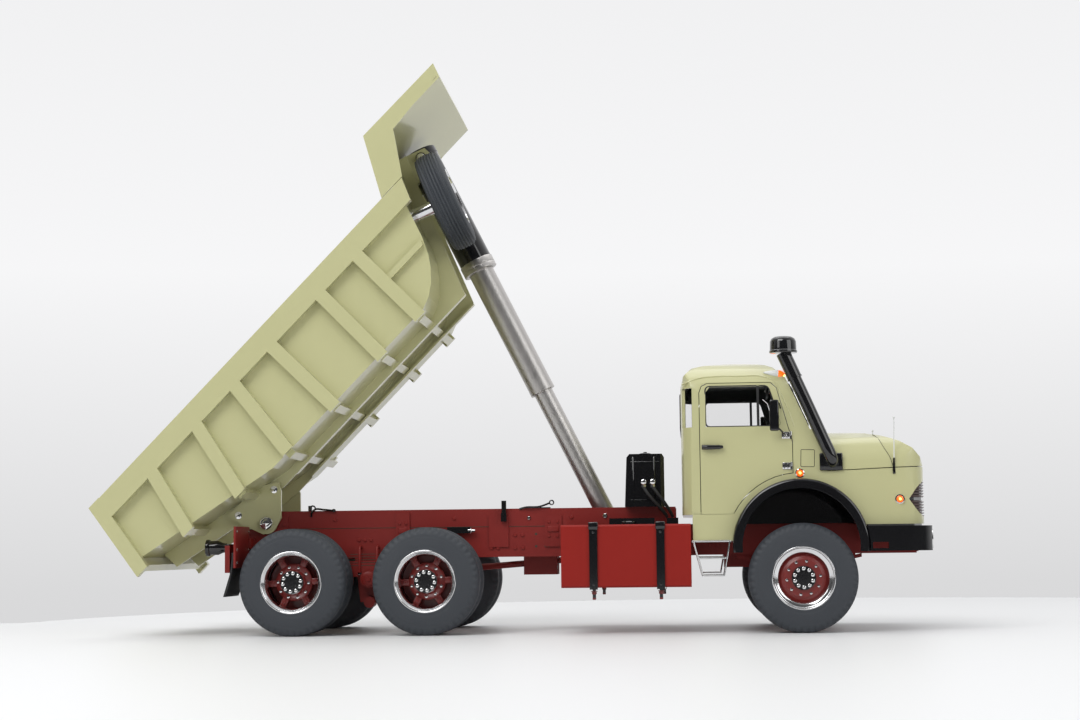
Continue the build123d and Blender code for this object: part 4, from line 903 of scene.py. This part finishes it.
def makePanels(spec):
    for name, body in spec["bodies"].items():
        mesh = nodes[name].data.copy()
        work = bmesh.new()
        work.from_mesh(mesh)
        bmesh.ops.remove_doubles(work, verts=work.verts, dist=1e-6)
        bmesh.ops.dissolve_limit(work, angle_limit=math.radians(0.3), verts=work.verts, edges=work.edges)
        bmesh.ops.triangulate(work, faces=[face for face in work.faces if len(face.verts) > 4])
        work.to_mesh(mesh)
        work.free()
        if "custom_normal" in mesh.attributes:
            mesh.attributes.remove(mesh.attributes["custom_normal"])
        mesh.shade_smooth()
        mesh.set_sharp_from_angle(angle=math.radians(spec["roundAcross"]))
        thing = bpy.data.objects.new(spec["names"][name], mesh)
        bpy.context.scene.collection.objects.link(thing)
        weighted = thing.modifiers.new("largeFacesFirst", "WEIGHTED_NORMAL")
        weighted.keep_sharp = True
        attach(thing, body)
        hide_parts(name)

makePanels(panelSpec)
print("panels made")


# wheel arches: a band with a rounded rim, its lining, and a wall between the arch and the rail
archSpec = dict(centre=(-1.0, 58.0), foot=54.5, skin=46.3, lip=39.6, outside=86.0, inside=75.2, liner=44.6,
    wallFrom=33.6, wallTo=34.8, wallFoot=74.2)

def sweptArch(profile, foot, centre, steps=64):
    # a profile of (radius, y) carried round the wheel's arch; each radius ends where it meets the foot's
    # height
    cx, cz = centre
    r, y = np.array(profile, float).T
    start = np.arcsin(np.clip((foot - cz) / r, -1, 1))
    t = np.linspace(0, 1, steps)[:, None]
    angle = start + t * (np.pi - 2 * start)
    grid = np.stack([cx + r * np.cos(angle), np.broadcast_to(y, angle.shape), cz + r * np.sin(angle)],
        axis=-1)
    ends = [np.broadcast_to(grid[k].mean(0), grid[k].shape)[None] for k in (0, -1)]
    return gridShape(np.concatenate([ends[0], grid, ends[1]]), wrapColumns=True)

def makeArches(spec):
    skin, lip, out = spec["skin"], spec["lip"], spec["outside"]
    bend = [(skin - 2.4 + 2.4 * math.cos(a), out - 2.4 + 2.4 * math.sin(a))
        for a in np.linspace(0, np.pi / 2, 7)]
    rim = [(lip + 0.5, out - 0.1), (lip, out - 0.7), (lip, out - 2.4), (lip + 3.0, out - 2.5)]
    band = [(lip + 3.0, spec["inside"]), (skin - 0.1, spec["inside"])] + bend + rim
    liner = [(spec["liner"], spec["wallFrom"] + 0.4), (skin - 0.15, spec["wallFrom"] + 0.4),
        (skin - 0.15, spec["inside"]), (spec["liner"], spec["inside"])]
    cx, cz = spec["centre"]
    reach = spec["liner"] + 0.6
    start = math.asin((spec["wallFoot"] - cz) / reach)
    wall = [(cx + reach * math.cos(a), cz + reach * math.sin(a))
        for a in np.linspace(start, np.pi - start, 33)]
    shapes = [sweptArch(band, spec["foot"], spec["centre"]), sweptArch(liner, 60.0, spec["centre"]),
        plateShape(wall, spec["wallFrom"], spec["wallTo"], 0.1)]
    makePair("archFlares", shapes, "black_paint", replaced=["arch_flares"])

makeArches(archSpec)


# air intake on the right: a thick pipe with a sleeve, a rounded hood and a bent foot on the cowl
intakeSpec = dict(top=(-9.9, -76.1, 190.6), hoodRadius=9.7, hoodZ=190.4, pipe=4.4, sleeve=5.0,
    route=[(-2.0, -77.9, 172.0), (8.0, -79.4, 148.6), (16.9, -80.6, 127.5), (19.9, -80.9, 120.6),
        (21.2, -80.2, 117.0), (21.8, -77.6, 115.4)],
    sleeveRoute=[(-6.2, -77.0, 182.0), (-2.6, -77.8, 173.4)],
    footLow=(12.9, -79.2, 109.4), footHigh=(28.6, -76.9, 121.4))

def makeIntake(spec):
    x, y = spec["top"][:2]
    line = smoothLine([spec["top"]] + spec["route"], 48)
    sleeve = smoothLine([spec["top"]] + spec["sleeveRoute"], 12)
    edge = spec["hoodRadius"]
    hood = [(0, 0), (0, 4.6), (0.2, edge - 0.5), (0.9, edge), (1.8, edge - 0.1), (2.2, edge - 0.5),
        (8.0, edge - 0.7), (10.0, edge - 1.5), (11.3, edge - 3.4), (11.6, edge - 5.4), (11.7, 0)]
    foot = softBlock(spec["footLow"], spec["footHigh"], 1.0, 4)
    lip = spec["sleeve"] + 0.35
    sleeveEnd = [(0, 0), (0, lip), (0.8, lip), (0.8, 0)]
    rim = latheShape(sleeveEnd, spec["sleeveRoute"][-1], (0.40, -0.06, -0.92), 32)
    shapes = [tubeShape(line, spec["pipe"], 28), tubeShape(sleeve, spec["sleeve"], 28)]
    shapes += [latheShape(hood, (x, y, spec["hoodZ"]), (0, 0, 1), 56), foot, rim]
    makePiece("airIntake", shapes, "black_paint", replaced=["air_intake"])

makeIntake(intakeSpec)
print("arches and intake made")


# polished rims, and the red hubs of the twin wheels with six lugs each
rimSpec = dict(
    frontRim=[(64.0, 21.6), (64.5, 21.5), (64.7, 20.3), (85.2, 20.3), (85.4, 21.4), (85.8, 21.5),
        (86.0, 21.1), (86.0, 20.8), (85.6, 20.3), (85.0, 20.0), (84.7, 19.3), (84.5, 17.5), (84.2, 17.2),
        (83.8, 17.2), (83.6, 17.6), (83.6, 18.9), (82.0, 19.0), (66.0, 19.0), (64.0, 19.6)],
    outerRim=[(66.0, 21.6), (66.5, 21.5), (66.7, 20.3), (85.2, 20.3), (85.4, 21.4), (85.8, 21.5),
        (86.0, 21.1), (86.0, 20.8), (85.5, 20.2), (84.9, 19.8), (84.3, 18.9), (83.4, 18.4), (76.6, 17.6),
        (75.6, 17.7), (75.4, 18.9), (68.0, 19.0), (66.0, 19.6)],
    innerShift=-26.0, lugAngles=[3 + 60 * k for k in range(6)],
    hub=[(46.0, 0), (46.0, 9.0), (70.6, 9.0), (71.0, 12.4), (71.3, 12.8), (73.8, 12.8), (74.2, 12.4),
        (76.2, 9.0), (82.0, 7.7), (82.3, 7.4), (82.3, 0)],
    web=[(60.0, 8.8), (60.0, 18.95), (62.0, 18.95), (62.0, 8.8)])

def spun(shape, x, z, degrees):
    # turned about the wheel's axis
    points, faces = shape
    c, s = math.cos(math.radians(degrees)), math.sin(math.radians(degrees))
    dx, dz = points[:, 0] - x, points[:, 2] - z
    return np.column_stack([x + dx * c - dz * s, points[:, 1], z + dx * s + dz * c]), faces

def turnedOn(profile, place, sign, count=96, shift=0.0, closed=True):
    # a profile of (distance from the truck's middle, radius) turned about a wheel's axle
    x, z = place
    points = [(sign * (distance + shift), radius) for distance, radius in profile]
    return latheShape(points, (x, 0, z), (0, 1, 0), count, closed=closed)

def makeRims(wheels, spec):
    z = wheels["axleHeight"]
    for side, sign in leftRight:
        rim = turnedOn(spec["frontRim"], (wheels["frontX"], z), sign)
        wheel = "front_wheel_" + side
        makePiece("frontRim_" + side, [rim], "polished_rim", wheel, ["front_rim_" + side], sharp=50)
        for k, x in enumerate(wheels["rearX"], start=1):
            wheel = f"rear_{k}_wheel_{side}"
            outer = turnedOn(spec["outerRim"], (x, z), sign)
            inner = turnedOn(spec["outerRim"], (x, z), sign, 64, spec["innerShift"])
            makePiece(f"rearRims{k}_{side}", [outer, inner], "polished_rim", wheel,
                [f"rear_{k}_rims_{side}"], sharp=50)
            hub = [turnedOn(spec["hub"], (x, z), sign, 64, closed=False)]
            hub.append(turnedOn(spec["web"], (x, z), sign, 64))
            for turn in spec["lugAngles"]:
                low, high = sorted((sign * 70.9, sign * 74.0))
                lug = softBlock((x + 11.6, low, z - 2.3), (x + 18.6, high, z + 2.3), 0.8)
                head = boltShape((x + 15.4, sign * 73.8, z), (0, sign, 0), 1.3, 1.1, 6)
                hub += [spun(lug, x, z, turn), spun(head, x, z, turn)]
            makePiece(f"rearHub{k}_{side}", hub, "hub_red", wheel, [f"rear_{k}_hub_{side}"])

makeRims(wheelSpec, rimSpec)
print("rims and hubs made")


# grille slats that follow the nose, lamps, flaps and the lever at the tail
grilleSpec = dict(
    noseLine=[(66.0, 77.0), (76.0, 74.5), (81.5, 69.5), (84.0, 62.0), (86.0, 40.0), (86.6, 0.0)],
    edgeZ=[76.5, 77.5, 80.3, 83.8, 89.6, 95.5, 99.0, 102.0, 103.0],
    edgeX=[92.0, 84.0, 80.0, 77.0, 72.8, 77.0, 80.0, 84.0, 92.0],
    foot=77.6, top=101.9, pitch=1.9, count=13, middle=89.6, middleGap=1.3, thick=0.5)

def noseAt(spec, z, shift):
    # the part of the nose's outline that lies inside the almond at a height, moved inwards by a shift
    half = np.array(spec["noseLine"])
    line = np.concatenate([half, (half * (1, -1))[::-1][1:]])
    length = np.concatenate([[0], np.cumsum(np.linalg.norm(np.diff(line, axis=0), axis=1))])
    along = np.linspace(0, length[-1], 241)
    x, y = np.interp(along, length, line[:, 0]), np.interp(along, length, line[:, 1])
    start = np.interp(np.interp(z, spec["edgeZ"], spec["edgeX"]), x[:121], along[:121])
    along = np.linspace(start, length[-1] - start, 121)
    x, y = np.interp(along, length, line[:, 0]), np.interp(along, length, line[:, 1])
    back = np.stack([x - 40.0, y * 0.6], axis=-1)
    back /= np.linalg.norm(back, axis=1)[:, None]
    return np.column_stack([x - shift * back[:, 0], y - shift * back[:, 1], np.full(121, z)])

def makeGrille(spec):
    slats, foot, top = [], spec["foot"], spec["top"]
    for k in range(spec["count"]):
        z = spec["middle"] + spec["pitch"] * (k - (spec["count"] - 1) / 2)
        if foot < z < top and abs(z - spec["middle"]) > spec["middleGap"]:
            slats.append(tubeShape(noseAt(spec, z, 0.3), spec["thick"], 6))
    heights = np.linspace(foot, top, 29)
    front = np.array([noseAt(spec, z, 1.5) for z in heights])
    back = np.array([noseAt(spec, z, 2.3) for z in heights])[::-1]
    slats.append(gridShape(np.concatenate([front, back]), wrapRows=True))
    makePiece("grilleSlats", slats, "grille_dark", replaced=["grille"], sharp=50)

lampSpec = dict(places=((-0.5, 77.1, 108.0), (66.5, 77.0, 89.5)),
    roofPlace=(-24.0, 71.4, 177.9), roofDip=0.10,
    dome=[(-0.2, 0), (-0.2, 2.4), (0.5, 2.35), (1.3, 1.9), (1.9, 1.1), (2.1, 0)],
    core=[(1.3, 0), (1.6, 1.0), (2.0, 0.85), (2.25, 0.4), (2.3, 0)],
    drop=[(0, 0), (1.6, 0.8), (4.5, 1.6), (8.0, 2.35), (10.6, 2.7), (10.8, 0)],
    roofDome=[(10.7, 0), (10.7, 2.65), (12.6, 2.4), (14.2, 1.6), (15.0, 0.7), (15.2, 0)],
    roofCore=[(11.0, 0), (11.0, 1.3), (13.6, 1.0), (15.2, 0.6), (15.4, 0)], roofCoreShift=(0, 0.35, -0.9))

def makeLamps(spec):
    # side lamps as domes, roof lamps as drops that swell forwards, each with a bright core
    domes, cores = [], []
    for place in spec["places"]:
        domes.append(latheShape(spec["dome"], place, (0, 1, 0), 32))
        cores.append(latheShape(spec["core"], place, (0, 1, 0), 20))
    along = np.array((1.0, 0.0, -spec["roofDip"])) / math.hypot(1, spec["roofDip"])
    start = np.array(spec["roofPlace"])
    drop = latheShape(spec["drop"], start, along, 32)
    domes.append(latheShape(spec["roofDome"], start, along, 32))
    cores.append(latheShape(spec["roofCore"], start + spec["roofCoreShift"], along, 20))
    makePair("lampDomes", domes, "orange_lens", replaced=["marker_lamps"])
    makePair("lampCores", cores, "lamp_core")
    makePair("lampDrops", [drop], "pale_plastic")

tailSpec = dict(lampY=60.0, lampZ=61.5, flapTop=58.0, flapFoot=27.5, flapX=-391.8, flapLean=6.0,
    flapThick=1.2, flapY=(42.0, 82.5))

def makeTail(spec):
    # one lamp a side on an arm, flaps that lean back under red plates, and the lever by the pivot
    y, z = spec["lampY"], spec["lampZ"]
    lens = latheShape([(0, 0), (0, 4.7), (-1.6, 4.7), (-2.7, 4.0), (-2.9, 0)], (-413.7, y, z), (1, 0, 0), 36)
    makePair("tailLenses", [lens], "tail_lens", replaced=["tail_lamps"])
    housing = [(0, 0), (0, 5.0), (6.0, 5.0), (9.0, 3.6), (11.5, 3.2), (11.8, 0)]
    body = [latheShape(housing, (-413.8, y, z), (1, 0, 0), 36)]
    body.append(softBlock((-404.5, 36.0, 58.9), (-399.4, 62.0, 64.1), 0.8))
    body.append(softBlock((-404.0, 29.5, 58.9), (-390.0, 38.0, 64.1), 0.8))
    makePair("tailHousings", body, "black_paint")
    top, foot = spec["flapTop"], spec["flapFoot"]
    height = np.linspace(top, foot, 20)
    front = spec["flapX"] - spec["flapLean"] * ((top - height) / (top - foot)) ** 2
    back = np.column_stack([front - spec["flapThick"], height])[::-1]
    sheet = plateShape(np.concatenate([np.column_stack([front, height]), back]), *spec["flapY"], 0.2)
    makePair("mudFlaps", [sheet], "hose_rubber", replaced=["mud_flaps"])
    plates = [softBlock((-391.6, 42.0, 47.3), (-390.1, 84.0, 76.2), 0.4)]
    plates.append(softBlock((-391.4, 30.5, 60.5), (-388.6, 44.0, 68.0), 0.6))
    makePair("flapPlates", plates, "frame_red")
    bend = [(-347.6, -31.0, 83.0), (-346.8, -32.2, 86.4), (-344.6, -32.6, 88.2), (-338.0, -32.6, 88.0),
        (-331.4, -32.6, 87.3)]
    grip = [(0, 0), (0.3, 0.9), (1.4, 1.4), (2.6, 1.1), (3.2, 0)]
    knob = latheShape(grip, (-332.4, -32.6, 87.4), (1, 0, -0.08), 18)
    lever = [tubeShape(smoothLine(bend, 24), 0.7, 10), knob, ringShape((-346.2, -32.8, 88.9), 1.9, 18, 0.55)]
    makePiece("tailLever", lever, "black_paint")

makeGrille(grilleSpec)
makeLamps(lampSpec)
makeTail(tailSpec)
print("grille, lamps and tail made")


# inside the cab: stitched seat rolls, dials, gear lever and sun visors
interiorSpec = dict(seatY=(-40, 40), rollCount=4, cushionStep=7.4, backStep=6.2, dialY=(32, 40, 48),
    visorY=(-34, 34), dial=[(0, 0), (0, 3.4), (0.6, 3.4), (0.8, 2.9), (0.5, 2.8), (0.5, 0)],
    gearLever=[(-18, 4, 82.5), (-20, 3, 98), (-24, 2, 112)],
    gearKnob=[(0, 0), (0.4, 1.5), (1.8, 2.1), (3.2, 1.5), (3.6, 0)])

def makeInterior(spec):
    rolls = []
    for y in spec["seatY"]:
        for along in spec["cushionStep"] * np.arange(spec["rollCount"]):
            rolls.append(softBlock((-69.5 + along, y - 16.4, 105.2), (-62.6 + along, y + 16.4, 107.4), 1.1))
        for rise in spec["backStep"] * np.arange(spec["rollCount"]):
            rolls.append(softBlock((-67.2, y - 15.4, 109.0 + rise), (-64.9, y + 15.4, 114.6 + rise), 1.1))
    makePiece("seatRolls", rolls, "seat_cover")
    dials = [latheShape(spec["dial"], (-6.0, y, 127.0), (-0.9, 0, 0.42), 28) for y in spec["dialY"]]
    makePiece("dials", dials, "chrome")
    sticks = [tubeShape(smoothLine(spec["gearLever"], 12), 0.8, 10)]
    sticks.append(latheShape(spec["gearKnob"], (-24.4, 2, 111.4), (-0.2, 0, 1), 20))
    sticks += [softBlock((-17.5, y - 16, 168.0), (-16.6, y + 16, 177.0), 0.4) for y in spec["visorY"]]
    makePiece("gearLever", sticks, "interior_black")

makeInterior(interiorSpec)
print("interior made")
